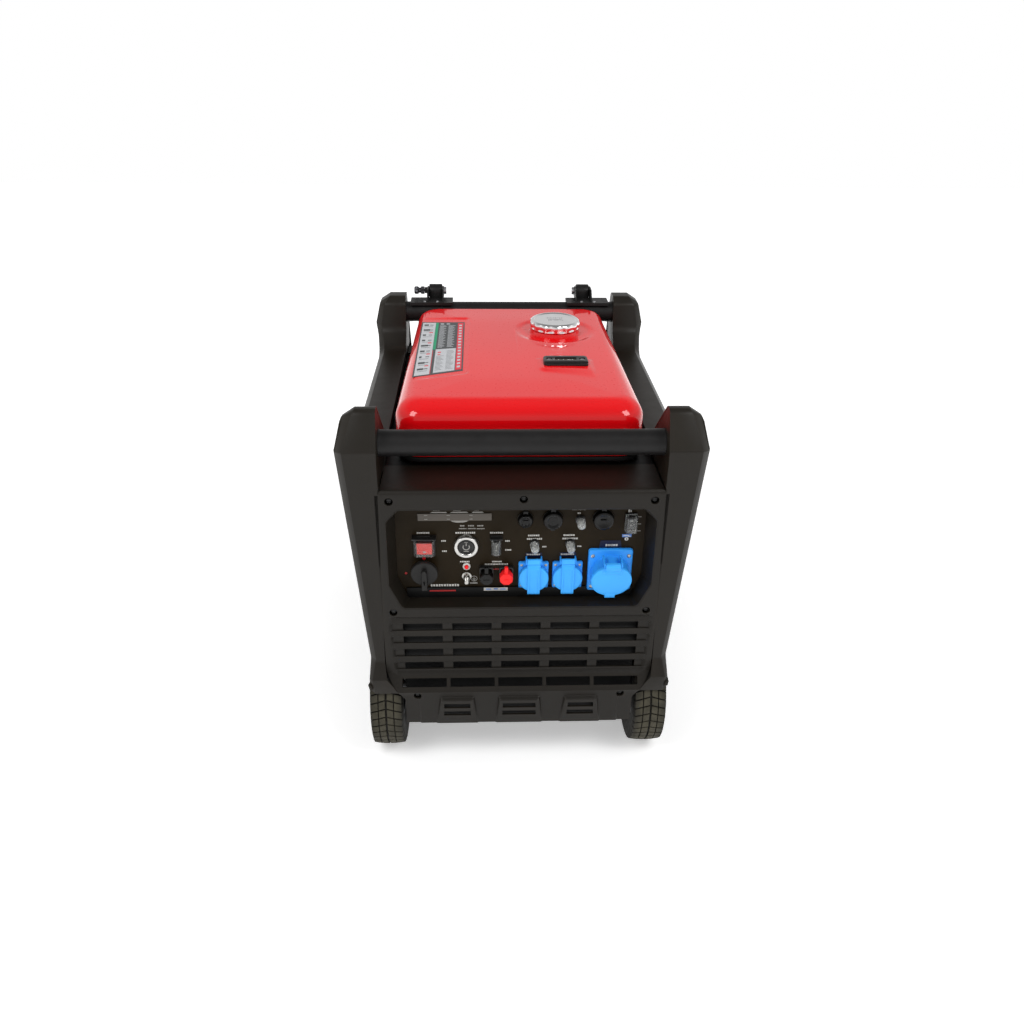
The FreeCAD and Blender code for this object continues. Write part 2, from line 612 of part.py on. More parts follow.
plate = d.recess_back
ROUND_CUTS = {
    "start": (d.start_x, d.switch_z, d.start_radius - 3), "reset": (d.start_x, d.reset_z, 5),
    "knob": (d.knob_x, d.knob_z, 8), "ground": (d.start_x, d.ground_z, 4.2),
    "breaker_left": (d.breaker_left_x, d.breaker_z, 6), "breaker_right": (d.breaker_right_x, d.breaker_z, 6),
    "dc_breaker": (d.dc_breaker_x, d.dc_breaker_z, 6),
    "usb": (d.usb_x, d.outlet_z, d.usb_radius - 1), "remote": (d.remote_x, d.outlet_z, d.remote_radius - 1),
    "charge": (d.charge_x, d.outlet_z, d.charge_radius - 1),
    "ac_left": (d.ac_left_x, d.ac_z, 22.5), "ac_right": (d.ac_right_x, d.ac_z, 22.5),
    "cee": (d.cee_x, d.cee_z, 32),
}
SQUARE_CUTS = {
    "main": (d.main_x, d.switch_z, 15, 15), "idle": (d.idle_x, d.switch_z, 5.5, 14),
    "mode": (d.mode_x, d.mode_z, 7, 12),
}


def square(name, middle_x, middle_z, half_x, half_z, low, high):
    """A block centred on a point of the panel."""
    return box(name, (middle_x - half_x, middle_x + half_x), (low, high),
               (middle_z - half_z, middle_z + half_z))


def control_panel():
    """The flat plate that carries every switch and socket."""
    blank = box("panel_blank", (-d.panel_half, d.panel_half), (plate, plate + d.panel_skin),
                (d.panel_low, d.panel_high))
    holes = [rod(f"panel_hole_{name}", "Y", (x, plate - 1, z), radius, 6)
             for name, (x, z, radius) in ROUND_CUTS.items()]
    holes += [square(f"panel_cut_{name}", x, z, half_x, half_z, plate - 1, plate + 5)
              for name, (x, z, half_x, half_z) in SQUARE_CUTS.items()]
    return cut("panel", blank, *holes)


def rocker_bezel(name, x, z, half_x, half_z):
    """A rocker switch's frame, with its box behind the panel and a rain hood over it."""
    rim = square(f"{name}_rim", x, z, half_x, half_z, plate - 5, plate)
    hood = square(f"{name}_hood", x, z + half_z + 1, half_x + 2, 2, plate - 15, plate)
    body = square(f"{name}_box", x, z, half_x - 3, half_z - 3, plate - 1, plate + 22)
    well = square(f"{name}_well", x, z, half_x - 4.5, half_z - 4.5, plate - 10, plate + 10)
    return cut(f"{name}_bezel", fuse(f"{name}_solid", rim, hood, body), well)


def rocker(name, x, z, half_x, half_z):
    """A rocker, tipped so that its lower half is pressed in."""
    points = [(-6.5, half_z), (-4.5, 0), (-6.5, -half_z), (3, -half_z * 0.6), (3, half_z * 0.6)]
    body = prism(name, "YZ", points, -half_x, half_x)
    return place(body, (x, plate - 2, z), Rotation(Vector(1, 0, 0), ROCKER_TILT))


ROCKER_TILT = 9
keep("control_panel", control_panel())
keep("display_window", square("display", d.display_x, d.display_z, d.display_long / 2, d.display_tall / 2,
                              plate - 2, plate))
keep("switch_bezels", fuse("bezel_set", rocker_bezel("main", d.main_x, d.switch_z, d.main_half, d.main_half),
                           rocker_bezel("idle", d.idle_x, d.switch_z, 8, 17),
                           rocker_bezel("mode", d.mode_x, d.mode_z, 9.5, 14.5)))
keep("main_rocker", rocker("rocker_main", d.main_x, d.switch_z, d.main_half - 5, d.main_half - 6))
keep("idle_rocker", rocker("rocker_idle", d.idle_x, d.switch_z, 3, 10.5))
keep("mode_rocker", rocker("rocker_mode", d.mode_x, d.mode_z, 4.5, 8.5))


def button_sleeve(name, x, z, radius, bore, proud, depth):
    """A flanged sleeve through the panel that a push button slides in."""
    return turned(name, "Y", (x, plate, z),
                  [(bore, -proud), (radius - 1.5, -proud), (radius, -proud + 2), (radius, 0),
                   (bore + 1.5, 0), (bore + 1.5, depth), (bore, depth)])


def button(name, x, z, radius, proud, depth):
    """A push button with a domed front."""
    return turned(name, "Y", (x, plate, z),
                  [(0, -proud), (radius - 1, -proud), (radius, -proud + 1), (radius, depth), (0, depth)])


keep("start_bezel", button_sleeve("start_ring", d.start_x, d.switch_z, d.start_radius,
                                  d.start_button + 0.2, 9, 14))
keep("start_button", button("start_push", d.start_x, d.switch_z, d.start_button, 8, 6))
keep("reset_button", button("reset_push", d.start_x, d.reset_z, 3, 7, 4))
BREAKERS = {
    "left_breaker_button": (d.breaker_left_x, d.breaker_z),
    "right_breaker_button": (d.breaker_right_x, d.breaker_z),
    "dc_breaker_button": (d.dc_breaker_x, d.dc_breaker_z),
}
sleeves = [button_sleeve("reset_ring", d.start_x, d.reset_z, d.reset_radius, 3.2, 3, 10)]
for number, (name, (x, z)) in enumerate(BREAKERS.items()):
    sleeves.append(button_sleeve(f"breaker_ring_{number}", x, z, d.breaker_radius, 4.2, 7, 25))
    keep(name, button(f"breaker_push_{number}", x, z, 4, 13, 4))
keep("breaker_bodies", fuse("breaker_set", *sleeves))


def fuel_knob():
    """The fuel valve's round knob with its lever, on a short spindle."""
    disc = turned("knob_disc", "Y", (d.knob_x, plate, d.knob_z),
                  [(0, -19), (d.knob_radius - 2, -19), (d.knob_radius, -16), (d.knob_radius, -1), (7, -1),
                   (7, 10), (0, 10)])
    lever = square("knob_lever", d.knob_x, d.knob_z - 9, 5.5, 22, plate - 25, plate - 18)
    return fuse("knob", disc, lever)


def fuel_valve():
    """The fuel valve behind the panel, with two hose stubs."""
    block = square("valve_block", d.knob_x, d.knob_z, 16, 16, plate + d.panel_skin + 7.3, plate + 40)
    stubs = rod("valve_stub", "Z", (d.knob_x, plate + 27, d.knob_z - 34), 4, 68)
    return fuse("valve", block, stubs)


def ground_terminal():
    """A brass stud with a washer and a wing nut."""
    stud = rod("ground_stud", "Y", (d.start_x, plate - 21, d.ground_z), 4, 34)
    washer = rod("ground_washer", "Y", (d.start_x, plate - 3, d.ground_z), 8, 3)
    nut = rod("ground_nut", "Y", (d.start_x, plate - 13, d.ground_z), 6.5, 9)
    wings = square("ground_wings", d.start_x, d.ground_z, 2, 13, plate - 15, plate - 7)
    return fuse("ground", stud, washer, nut, wings)


keep("fuel_knob", fuel_knob())
keep("fuel_valve", fuel_valve())
keep("ground_terminal", ground_terminal())


def parallel_socket(name, x):
    """A shrouded parallel-operation terminal with its cap on."""
    shroud = square(f"{name}_shroud", x, d.parallel_z, 11.5, 13, plate - 10, plate)
    cap = rod(f"{name}_cap", "Y", (x, plate - 19, d.parallel_z - 1), 10.5, 10)
    tail = rod(f"{name}_tail", "Y", (x, plate + d.panel_skin + 0.05, d.parallel_z), 6, 18)
    return fuse(f"{name}_solid", shroud, cap, tail)


keep("parallel_sockets", fuse("parallel_set", parallel_socket("parallel_black", d.parallel_black_x),
                              parallel_socket("parallel_red", d.parallel_red_x)))
OUTLETS = {
    "usb": (d.usb_x, d.usb_radius), "remote": (d.remote_x, d.remote_radius),
    "charge": (d.charge_x, d.charge_radius),
}
HINGE_RISE = 3


def outlet_body(name, x, radius):
    """A round low-voltage outlet: a flange, a deep open well and its hinge lugs."""
    middle = (x, plate, d.outlet_z)
    cup = turned(f"{name}_cup", "Y", middle,
                 [(radius - 3, -3), (radius, -3), (radius, 0), (radius - 1.2, 0), (radius - 1.2, 26), (0, 26),
                  (0, 20), (radius - 3, 20)])
    return cup


def outlet_cap(name, x, radius):
    """A round flap that hangs from a pin over its outlet."""
    disc = turned(f"{name}_disc", "Y", (x, plate, d.outlet_z),
                  [(0, -9), (radius - 3, -9), (radius, -6.5), (radius, -3.3), (0, -3.3)])
    tab = square(f"{name}_tab", x, d.outlet_z + radius, 4, HINGE_RISE + 2, plate - 7.5, plate - 3.5)
    return fuse(f"{name}_flap", disc, tab)


keep("outlet_bodies", fuse("outlet_set", *[outlet_body(name, *spot) for name, spot in OUTLETS.items()]))
for name, spot in OUTLETS.items():
    keep(f"{name}_cap", outlet_cap(name, *spot))


def ac_socket(name, x):
    """A domestic panel socket: square flange, round well and two hinge ears at the top."""
    flange = square(f"{name}_flange", x, d.ac_z, d.ac_flange_half, d.ac_flange_half, plate - 6, plate)
    barrel = rod(f"{name}_barrel", "Y", (x, plate, d.ac_z), 22.3, 30)
    well = rod(f"{name}_well", "Y", (x, plate - 8, d.ac_z), d.ac_bore, 24)
    ears = [box(f"{name}_ear_{side + 1}", (x + side * 15 - 2.5, x + side * 15 + 2.5), (plate - 13, plate),
                (d.ac_z + d.ac_flange_half - 1, d.ac_z + d.ac_flange_half + 7)) for side in (-1, 1)]
    return cut(f"{name}_socket", fuse(f"{name}_solid", flange, barrel, *ears), well)


def ac_lid(name, x):
    """A spring lid: a round plate with a raised rib, a hinge block and a finger tab."""
    hinge_z = d.ac_z + d.ac_flange_half + 3
    disc = rod(f"{name}_disc", "Y", (x, plate - 13, d.ac_z), d.ac_lid, 6.8)
    block = box(f"{name}_block", (x - 12, x + 12), (plate - 13, plate - 6.3), (d.ac_z + 15, hinge_z + 3.5))
    rib = box(f"{name}_rib", (x - 9.5, x + 9.5), (plate - 15, plate - 12), (d.ac_z - 27, hinge_z))
    tab = box(f"{name}_tab", (x - 9.5, x + 9.5), (plate - 15, plate - 6.3), (d.ac_z - 29, d.ac_z - 20))
    return fuse(f"{name}_lid", disc, block, rib, tab)


keep("ac_sockets", fuse("ac_set", ac_socket("ac_left", d.ac_left_x), ac_socket("ac_right", d.ac_right_x)))
keep("ac_lid_left", ac_lid("ac_left_cover", d.ac_left_x))
keep("ac_lid_right", ac_lid("ac_right_cover", d.ac_right_x))

# The round power socket leans down by a set angle about a point on the panel, and its lid leans with it.
LEAN = Rotation(Vector(1, 0, 0), DIMENSIONS["cee_tilt"])
ALONG["lean"] = LEAN.multiply(Rotation(Vector(1, 0, 0), 90))


def leaning(name, points):
    """A body turned about the leaning socket's axis, from (radius, distance out of the panel)."""
    return turned(name, "lean", (d.cee_x, plate, d.cee_z), points)


def cee_socket():
    """The round power socket: square flange, leaning collar and hinge ears."""
    flange = square("cee_flange", d.cee_x, d.cee_z, d.cee_flange_half, d.cee_flange_half + 3,
                    plate - 8, plate)
    collar = leaning("cee_collar_turn", [(0, -12), (d.cee_collar, -12), (d.cee_collar, 26), (0, 26)])
    well = leaning("cee_well_turn", [(0, 2), (d.cee_bore, 2), (d.cee_bore, 40), (0, 40)])
    barrel = rod("cee_barrel", "Y", (d.cee_x, plate, d.cee_z), 31, 35)
    front = cut("cee_front", collar, box("cee_behind", (d.cee_x - 60, d.cee_x + 60), (plate, plate + 40),
                                         (d.cee_z - 60, d.cee_z + 60)))
    return cut("cee", fuse("cee_solid", flange, front, barrel), well)


def cee_lid():
    """The power socket's spring lid, with a hinge block at its top."""
    lid = leaning("cee_lid_turn",
                  [(0, 26.5), (d.cee_lid, 26.5), (d.cee_lid, 32), (d.cee_lid - 2, 33.5), (0, 33.5)])
    blocks = []
    shapes = (("block", 15, 22, 40.5, 26.5, 36), ("tab", 8.5, -38, -27, 26.5, 34))
    for name, half_x, low, high, near, far in shapes:
        block = scratch("Part::Box", f"cee_lid_{name}")
        bind(block, "Length", 2 * half_x)
        bind(block, "Width", high - low)
        bind(block, "Height", far - near)
        turn = ALONG["lean"]
        corner = turn.multVec(Vector(-half_x, low, near))
        place(block, (d.cee_x + corner.x, plate + corner.y, d.cee_z + corner.z), turn)
        blocks.append(block)
    return fuse("cee_cover", lid, *blocks)


keep("cee_socket", cee_socket())
keep("cee_lid", cee_lid())

# ---------------------------------------------------------------- engine bay


def engine_block():
    """The crankcase, with a bore for the shaft and a sump, on four rubber mounts."""
    case = box("crank_case", (-85, 85), (-40, 95), (d.tray_low + 44, d.crank_z + 75))
    bore = rod("crank_bore", "Y", (0, -50, d.crank_z), d.crank_radius + d.run_gap, 160)
    return cut("engine", case, bore)


def cylinder_head():
    """The finned cylinder and head above the crankcase."""
    low = d.crank_z + 75
    barrel = box("barrel_core", (-40, 40), (-10, 70), (low, low + 120))
    fins = [box(f"fin_{n}", (-62, 62), (-30, 88), (low + 12 + 14 * n, low + 16 + 14 * n)) for n in range(6)]
    cover = box("head_cover", (-55, 55), (-25, 85), (low + 100, low + 150))
    return fuse("head", barrel, cover, *fins)


def crank_rotor():
    """Crankshaft, magnet rotor and cooling fan, which turn as one."""
    shaft = rod("shaft", "Y", (0, -190, d.crank_z), d.crank_radius, 290)
    rotor = rod("rotor", "Y", (0, -150, d.crank_z), d.rotor_radius, 70)
    hub_disc = rod("fan_disc", "Y", (0, -176, d.crank_z), 70, 4)
    blades = []
    for number in range(8):
        blade = scratch("Part::Box", f"fan_blade_{number}")
        blade.Length, blade.Width, blade.Height = 3, 14, 45
        turn = Rotation(Vector(0, 1, 0), 45 * number)
        corner = turn.multVec(Vector(-1.5, 0, 22))
        place(blade, (corner.x, -189, d.crank_z + corner.z), turn)
        blades.append(blade)
    return fuse("crank", shaft, rotor, hub_disc, *blades)


def muffler():
    """The silencer box with its pipe out through the back cover."""
    can = prism("silencer", "XZ", [(-165, 150), (-55, 150), (-45, 165), (-45, 275), (-60, 290), (-160, 290),
                                   (-172, 275), (-172, 165)], 120, 290)
    tail = rod("tail_pipe", "Y", (-110, 285, 200), d.tail_hole - 4, 66)
    bore = rod("tail_bore", "Y", (-110, 310, 200), d.tail_hole - 6, 60)
    port = rod("exhaust_port", "Y", (-65, 95.1, 260), 14, 30)
    return cut("muffler_can", fuse("muffler_solid", can, tail, port), bore)


engine_bay = {
    "engine_block": engine_block(),
    "cylinder_head": cylinder_head(),
    "crank_rotor": crank_rotor(),
    "muffler": muffler(),
    "alternator_stator": tube("stator", "Y", (0, -148, d.crank_z), d.stator_radius, d.stator_bore, 107.9),
    "inverter_module": box("inverter", (-150, 150), (-300, -220), (d.tray_low + 8, 300)),
    "battery": box("battery_case", (100, 178), (120, 250), (d.tray_low + d.tray_skin, 230)),
    "starter_motor": rod("starter", "Y", (115.1, -40, 190), 30, 120),
    "air_cleaner": box("air_box", (80, 190), (-60, 90), (400, 520)),
    "carburetor": fuse("carb", box("carb_block", (62.1, 79.9), (10, 60), (420, 470)),
                       rod("carb_bowl", "Z", (71, 35, 395), 8.5, 30)),
    "engine_mounts": fuse("mount_set", *[rod(f"mount_{x}_{y}", "Z", (x, y, d.tray_low + d.tray_skin), 16,
                                             44 - d.tray_skin) for x in (-60, 60) for y in (-20, 75)]),
}
for name, item in engine_bay.items():
    keep(name, item)

# ---------------------------------------------------------------- check and write

doc.recompute()
for item in doc.Objects:
    if "Invalid" in item.State or "Error" in item.State:
        raise RuntimeError(f"{item.Name} failed: {item.State}")
for name, item in parts.items():
    if item.Shape.isNull() or not item.Shape.isValid():
        raise RuntimeError(f"{name} has no valid shape")
    if not item.Shape.Solids:
        raise RuntimeError(f"{name} has no solid")
os.makedirs("parts", exist_ok=True)
for name, item in parts.items():
    item.Shape.exportStep(f"parts/{name}.step")
print(f"{len(parts)} sub-parts written")
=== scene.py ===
"""Looks of the wheeled inverter generator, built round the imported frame.

Shapes are written in millimetres in the row frame (+Z up, the control panel faces -Y) and turned to metres
when a mesh is made. Places come from the boxes of the CAD nodes.
"""
import math

import bmesh
import bpy
from mathutils import Matrix, Vector


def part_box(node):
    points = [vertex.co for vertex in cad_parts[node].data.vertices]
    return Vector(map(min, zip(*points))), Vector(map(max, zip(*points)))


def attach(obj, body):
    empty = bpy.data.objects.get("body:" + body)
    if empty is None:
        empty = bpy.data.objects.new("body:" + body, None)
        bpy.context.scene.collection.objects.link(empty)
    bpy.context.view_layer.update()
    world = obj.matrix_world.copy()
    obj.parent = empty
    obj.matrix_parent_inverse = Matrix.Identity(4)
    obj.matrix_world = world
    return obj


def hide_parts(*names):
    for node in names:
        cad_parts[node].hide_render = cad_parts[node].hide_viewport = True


MM = 0.001
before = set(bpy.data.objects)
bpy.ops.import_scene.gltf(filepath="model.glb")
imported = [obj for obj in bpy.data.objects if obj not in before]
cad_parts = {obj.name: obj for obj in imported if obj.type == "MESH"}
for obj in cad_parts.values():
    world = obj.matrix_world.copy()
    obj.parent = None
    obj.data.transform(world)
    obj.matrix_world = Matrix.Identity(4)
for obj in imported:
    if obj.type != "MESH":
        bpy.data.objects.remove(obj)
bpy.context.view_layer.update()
scene = bpy.context.scene


# ---------------------------------------------------------------- places taken from the frame

class Place:
    """A CAD node's box in millimetres."""

    def __init__(self, node):
        low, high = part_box(node)
        self.x0, self.y0, self.z0 = (value / MM for value in low)
        self.x1, self.y1, self.z1 = (value / MM for value in high)
        self.x = (self.x0 + self.x1) / 2
        self.y = (self.y0 + self.y1) / 2
        self.z = (self.z0 + self.z1) / 2
        self.wide = self.x1 - self.x0
        self.deep = self.y1 - self.y0
        self.tall = self.z1 - self.z0


fascia = Place("front_fascia")
plate = Place("control_panel")
tank = Place("fuel_tank")
cap = Place("fuel_cap_shell")
gauge = Place("gauge_housing")
tyre = Place("right_tyre")
front_bar = Place("front_crossbar")
rear_bar = Place("rear_crossbar")
FACE = -350.0
SKIRT = fascia.y0
PANEL = plate.y0


# ---------------------------------------------------------------- small tools

def ramp(value, low, high):
    """0 below low, 1 above high and a smooth rise between."""
    share = min(max((value - low) / (high - low), 0.0), 1.0)
    return share * share * (3 - 2 * share)


def between(table, value):
    """Straight-line reading of a table of (input, output) rows."""
    if value <= table[0][0]:
        return table[0][1]
    for (a, fa), (b, fb) in zip(table, table[1:]):
        if value <= b:
            return fa + (fb - fa) * (value - a) / (b - a)
    return table[-1][1]


def grid_lines(low, high, step, breaks=()):
    """Evenly spaced values from low to high, with the breaks exactly among them."""
    stops = sorted({low, high, *[value for value in breaks if low < value < high]})
    values = [stops[0]]
    for start, end in zip(stops, stops[1:]):
        count = max(1, round((end - start) / step))
        values += [start + (end - start) * n / count for n in range(1, count + 1)]
    return values


def rounded(corners, steps=6):
    """A closed outline whose corners (u, v, radius) are rounded."""
    points = []
    count = len(corners)
    for index, (u, v, radius) in enumerate(corners):
        here = Vector((u, v))
        back = Vector(corners[index - 1][:2]) - here
        ahead = Vector(corners[(index + 1) % count][:2]) - here
        turn = back.angle(ahead)
        if radius <= 0 or turn > math.pi - 0.02:
            points.append((u, v))
            continue
        reach = min(radius / math.tan(turn / 2), back.length * 0.49, ahead.length * 0.49)
        true_radius = reach * math.tan(turn / 2)
        start, end = here + back.normalized() * reach, here + ahead.normalized() * reach
        middle = here + (back.normalized() + ahead.normalized()).normalized() * math.hypot(reach, true_radius)
        a, b = start - middle, end - middle
        sweep = a.angle(b)
        for n in range(steps + 1):
            share = n / steps
            point = (a * math.sin((1 - share) * sweep) + b * math.sin(share * sweep)) / math.sin(sweep)
            points.append(tuple(middle + point))
    return points


def area(points):
    """Signed area of an outline."""
    return sum(a[0] * b[1] - b[0] * a[1] for a, b in zip(points, points[1:] + points[:1])) / 2


def inset(points, amount):
    """The outline moved inwards by an amount, corner by corner."""
    facing = 1 if area(points) > 0 else -1
    moved = []
    for index, point in enumerate(points):
        before, here = Vector(points[index - 1]), Vector(point)
        after = Vector(points[(index + 1) % len(points)])
        first, second = (here - before).normalized(), (after - here).normalized()
        normal = Vector((-first.y - second.y, first.x + second.x)) * facing
        normal.normalize()
        first_normal = Vector((-first.y, first.x)) * facing
        moved.append(tuple(here + normal * (amount / max(0.4, normal.dot(first_normal)))))
    return moved


def make(name, verts, faces):
    """A mesh object from points in millimetres."""
    mesh = bpy.data.meshes.new(name)
    mesh.from_pydata([tuple(value * MM for value in vert) for vert in verts], [], faces)
    mesh.validate()
    piece = bpy.data.objects.new(name, mesh)
    scene.collection.objects.link(piece)
    return piece


def from_bmesh(name, source):
    """A mesh object from a bmesh in millimetres."""
    bmesh.ops.recalc_face_normals(source, faces=source.faces[:])
    bmesh.ops.scale(source, vec=(MM, MM, MM), verts=source.verts[:])
    mesh = bpy.data.meshes.new(name)
    source.to_mesh(mesh)
    source.free()
    piece = bpy.data.objects.new(name, mesh)
    scene.collection.objects.link(piece)
    return piece


def settle(piece):
    """Applies every modifier to the mesh."""
    depsgraph = bpy.context.evaluated_depsgraph_get()
    mesh = bpy.data.meshes.new_from_object(piece.evaluated_get(depsgraph))
    piece.modifiers.clear()
    piece.data = mesh
    return piece


def outward(piece):
    """Makes all face normals point out of the solid."""
    work = bmesh.new()
    work.from_mesh(piece.data)
    bmesh.ops.remove_doubles(work, verts=work.verts[:], dist=0.02 * MM)
    bmesh.ops.recalc_face_normals(work, faces=work.faces[:])
    work.to_mesh(piece.data)
    work.free()
    return piece


def bevel(piece, width, segments=2, angle=32):
    """Rounds the edges that are sharper than an angle."""
    step = piece.modifiers.new("bevel", "BEVEL")
    step.width = width * MM
    step.segments = segments
    step.limit_method = "ANGLE"
    step.angle_limit = math.radians(angle)
    step.harden_normals = False
    return settle(piece)


def thicken(piece, amount):
    """Gives a skin its wall thickness, on the side away from its normals."""
    step = piece.modifiers.new("wall", "SOLIDIFY")
    step.thickness = amount * MM
    step.offset = -1
    step.use_even_offset = True
    step.use_quality_normals = True
    return settle(piece)


def carve(piece, *cutters):
    """Takes the cutters out of the piece and deletes them."""
    for cutter in cutters:
        step = piece.modifiers.new("carve", "BOOLEAN")
        step.operation = "DIFFERENCE"
        step.solver = "EXACT"
        step.object = cutter
    settle(piece)
    for cutter in cutters:
        bpy.data.objects.remove(cutter)
    return piece


def joined(name, pieces):
    """Several mesh objects as one."""
    work = bmesh.new()
    for piece in pieces:
        copy = piece.data.copy()
        copy.transform(piece.matrix_world)
        work.from_mesh(copy)
        bpy.data.meshes.remove(copy)
        bpy.data.objects.remove(piece)
    mesh = bpy.data.meshes.new(name)
    work.to_mesh(mesh)
    work.free()
    whole = bpy.data.objects.new(name, mesh)
    scene.collection.objects.link(whole)
    return whole


def finished(piece, body, slot, material, *nodes, sharp=38):
    """Shades the piece, gives it its material and hands it to a body; the slot is not used."""
    for face in piece.data.polygons:
        face.use_smooth = True
    piece.data.set_sharp_from_angle(angle=math.radians(sharp))
    piece.data.materials.clear()
    piece.data.materials.append(material)
    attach(piece, body)
    if nodes:
        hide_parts(*nodes)
    return piece


def spin_matrix(axis, centre):
    """Turns a lathe's own Z to the X, Y or Z axis and moves it to its centre."""
    turns = {"X": Matrix.Rotation(math.pi / 2, 4, "Y"), "Y": Matrix.Rotation(-math.pi / 2, 4, "X"),
             "Z": Matrix.Identity(4)}
    return Matrix.Translation(Vector(centre)) @ turns[axis]


def lathe(name, profile, centre, axis="Z", segments=64, wave=None, matrix=None):
    """A body of revolution from (radius, distance) points; wave(angle, radius, distance) can shift it."""
    matrix = matrix or spin_matrix(axis, centre)
    verts, faces, rings = [], [], []
    for radius, along in profile:
        if radius <= 0:
            rings.append([len(verts)])
            verts.append(tuple(matrix @ Vector((0, 0, along))))
            continue
        ring = []
        for n in range(segments):
            angle = 2 * math.pi * n / segments
            reach = radius + (wave(angle, radius, along) if wave else 0)
            ring.append(len(verts))
            verts.append(tuple(matrix @ Vector((reach * math.cos(angle), reach * math.sin(angle), along))))
        rings.append(ring)
    pairs = list(zip(rings, rings[1:]))
    if len(rings[0]) > 1 and len(rings[-1]) > 1:
        pairs.append((rings[-1], rings[0]))
    for a, b in pairs:
        for n in range(segments):
            m = (n + 1) % segments
            if len(a) > 1 and len(b) > 1:
                faces.append((a[n], a[m], b[m], b[n]))
            elif len(b) > 1:
                faces.append((a[0], b[m], b[n]))
            elif len(a) > 1:
                faces.append((a[n], a[m], b[0]))
    return outward(make(name, verts, faces))


def loft(name, loops, caps=True, ring=False):
    """Quads between outlines with the same number of points, with flat ends or closed on itself."""
    size = len(loops[0])
    verts = [point for loop in loops for point in loop]
    faces = []
    rows = list(range(len(loops) - 1)) + ([len(loops) - 1] if ring else [])
    for row in rows:
        after = (row + 1) % len(loops)
        for n in range(size):
            m = (n + 1) % size
            faces.append((row * size + n, row * size + m, after * size + m, after * size + n))
    if caps and not ring:
        faces.append(tuple(range(size))[::-1])
        faces.append(tuple(range((len(loops) - 1) * size, len(loops) * size)))
    return outward(make(name, verts, faces))


def slab(name, outline, plane, low, high, edge=0.0, segments=2):
    """An outline in the XZ, YZ or XY plane drawn out from low to high, with rounded edges."""
    spread = {"XZ": lambda u, v, w: (u, w, v), "YZ": lambda u, v, w: (w, u, v), "XY": lambda u, v,
              w: (u, v, w)}
    lay = spread[plane]
    piece = loft(name, [[lay(u, v, level) for u, v in outline] for level in (low, high)])
    return bevel(piece, edge, segments, 40) if edge else piece


def block(name, x, y, z, edge=1.0, segments=2, corner=0.0, plane="XZ"):
    """A box between limits; its corners seen along the plane's normal may have their own radius."""
    spans = {"XZ": (x, z, y), "YZ": (y, z, x), "XY": (x, y, z)}
    u, v, w = spans[plane]
    outline = rounded([(u[0], v[0], corner), (u[1], v[0], corner), (u[1], v[1], corner),
                       (u[0], v[1], corner)])
    return slab(name, outline, plane, w[0], w[1], edge, segments)


def circle(x, z, radius, count=48):
    """A round outline in two dimensions."""
    return [(x + radius * math.cos(2 * math.pi * n / count), z + radius * math.sin(2 * math.pi * n / count))
            for n in range(count)]


# ---------------------------------------------------------------- materials

class Recipe:
    """A node material that is built up layer by layer."""

    def __init__(self, name, roughness=0.5, metallic=0.0, **inputs):
        self.material = bpy.data.materials.new(name)
        self.material.use_nodes = True
        self.tree = self.material.node_tree
        self.shader = self.tree.nodes["Principled BSDF"]
        self.shader.inputs["Roughness"].default_value = roughness
        self.shader.inputs["Metallic"].default_value = metallic
        for key, value in inputs.items():
            self.shader.inputs[key.replace("_", " ")].default_value = value
        self.place = self.add("ShaderNodeTexCoord").outputs["Object"]
        self.height = None

    def add(self, kind, **settings):
        node = self.tree.nodes.new(kind)
        for key, value in settings.items():
            setattr(node, key, value)
        return node

    def link(self, source, target):
        self.tree.links.new(source, target)

    def noise(self, scale, detail=3.0, roughness=0.55):
        """Noise over the object, with scale in cycles per metre."""
        node = self.add("ShaderNodeTexNoise")
        self.link(self.place, node.inputs["Vector"])
        node.inputs["Scale"].default_value = scale
        node.inputs["Detail"].default_value = detail
        node.inputs["Roughness"].default_value = roughness
        return node.outputs["Fac"]

    def spread(self, source, low, high, out_low=0.0, out_high=1.0):
        """Maps a value from one range to another."""
        node = self.add("ShaderNodeMapRange")
        self.link(source, node.inputs["Value"])
        for key, value in (("From Min", low), ("From Max", high), ("To Min", out_low), ("To Max", out_high)):
            node.inputs[key].default_value = value
        return node.outputs["Result"]

    def maths(self, operation, first, second=None):
        """One arithmetic step between two values, either of which may be a number."""
        node = self.add("ShaderNodeMath", operation=operation)
        for slot_index, value in enumerate((first, second)):
            if value is None:
                continue
            if isinstance(value, (int, float)):
                node.inputs[slot_index].default_value = value
            else:
                self.link(value, node.inputs[slot_index])
        return node.outputs[0]

    def mix(self, share, first, second):
        """Mixes two colours, either of which may come from a node."""
        node = self.add("ShaderNodeMix", data_type="RGBA")
        if isinstance(share, (int, float)):
            node.inputs[0].default_value = share
        else:
            self.link(share, node.inputs[0])
        for slot_index, colour in ((6, first), (7, second)):
            if isinstance(colour, tuple):
                node.inputs[slot_index].default_value = (*colour, 1.0)
            else:
                self.link(colour, node.inputs[slot_index])
        return node.outputs[2]

    def colour(self, source):
        self.link(source, self.shader.inputs["Base Color"])
        return self

    def rough(self, source):
        self.link(source, self.shader.inputs["Roughness"])
        return self

    def bump(self, source, depth, strength=1.0):
        """Adds a relief, with depth in millimetres."""
        node = self.add("ShaderNodeBump")
        node.inputs["Strength"].default_value = strength
        node.inputs["Distance"].default_value = depth * MM
        self.link(source, node.inputs["Height"])
        if self.height is not None:
            self.link(self.height, node.inputs["Normal"])
        self.height = node.outputs["Normal"]
        self.link(self.height, self.shader.inputs["Normal"])
        return self

    def edges(self, low=0.52, high=0.6):
        """How far a point is on a sharp outer edge, 0 to 1."""
        node = self.add("ShaderNodeNewGeometry")
        return self.spread(node.outputs["Pointiness"], low, high)


def scaled(colour, factor):
    """A colour made lighter or darker."""
    return tuple(min(1.0, channel * factor) for channel in colour)


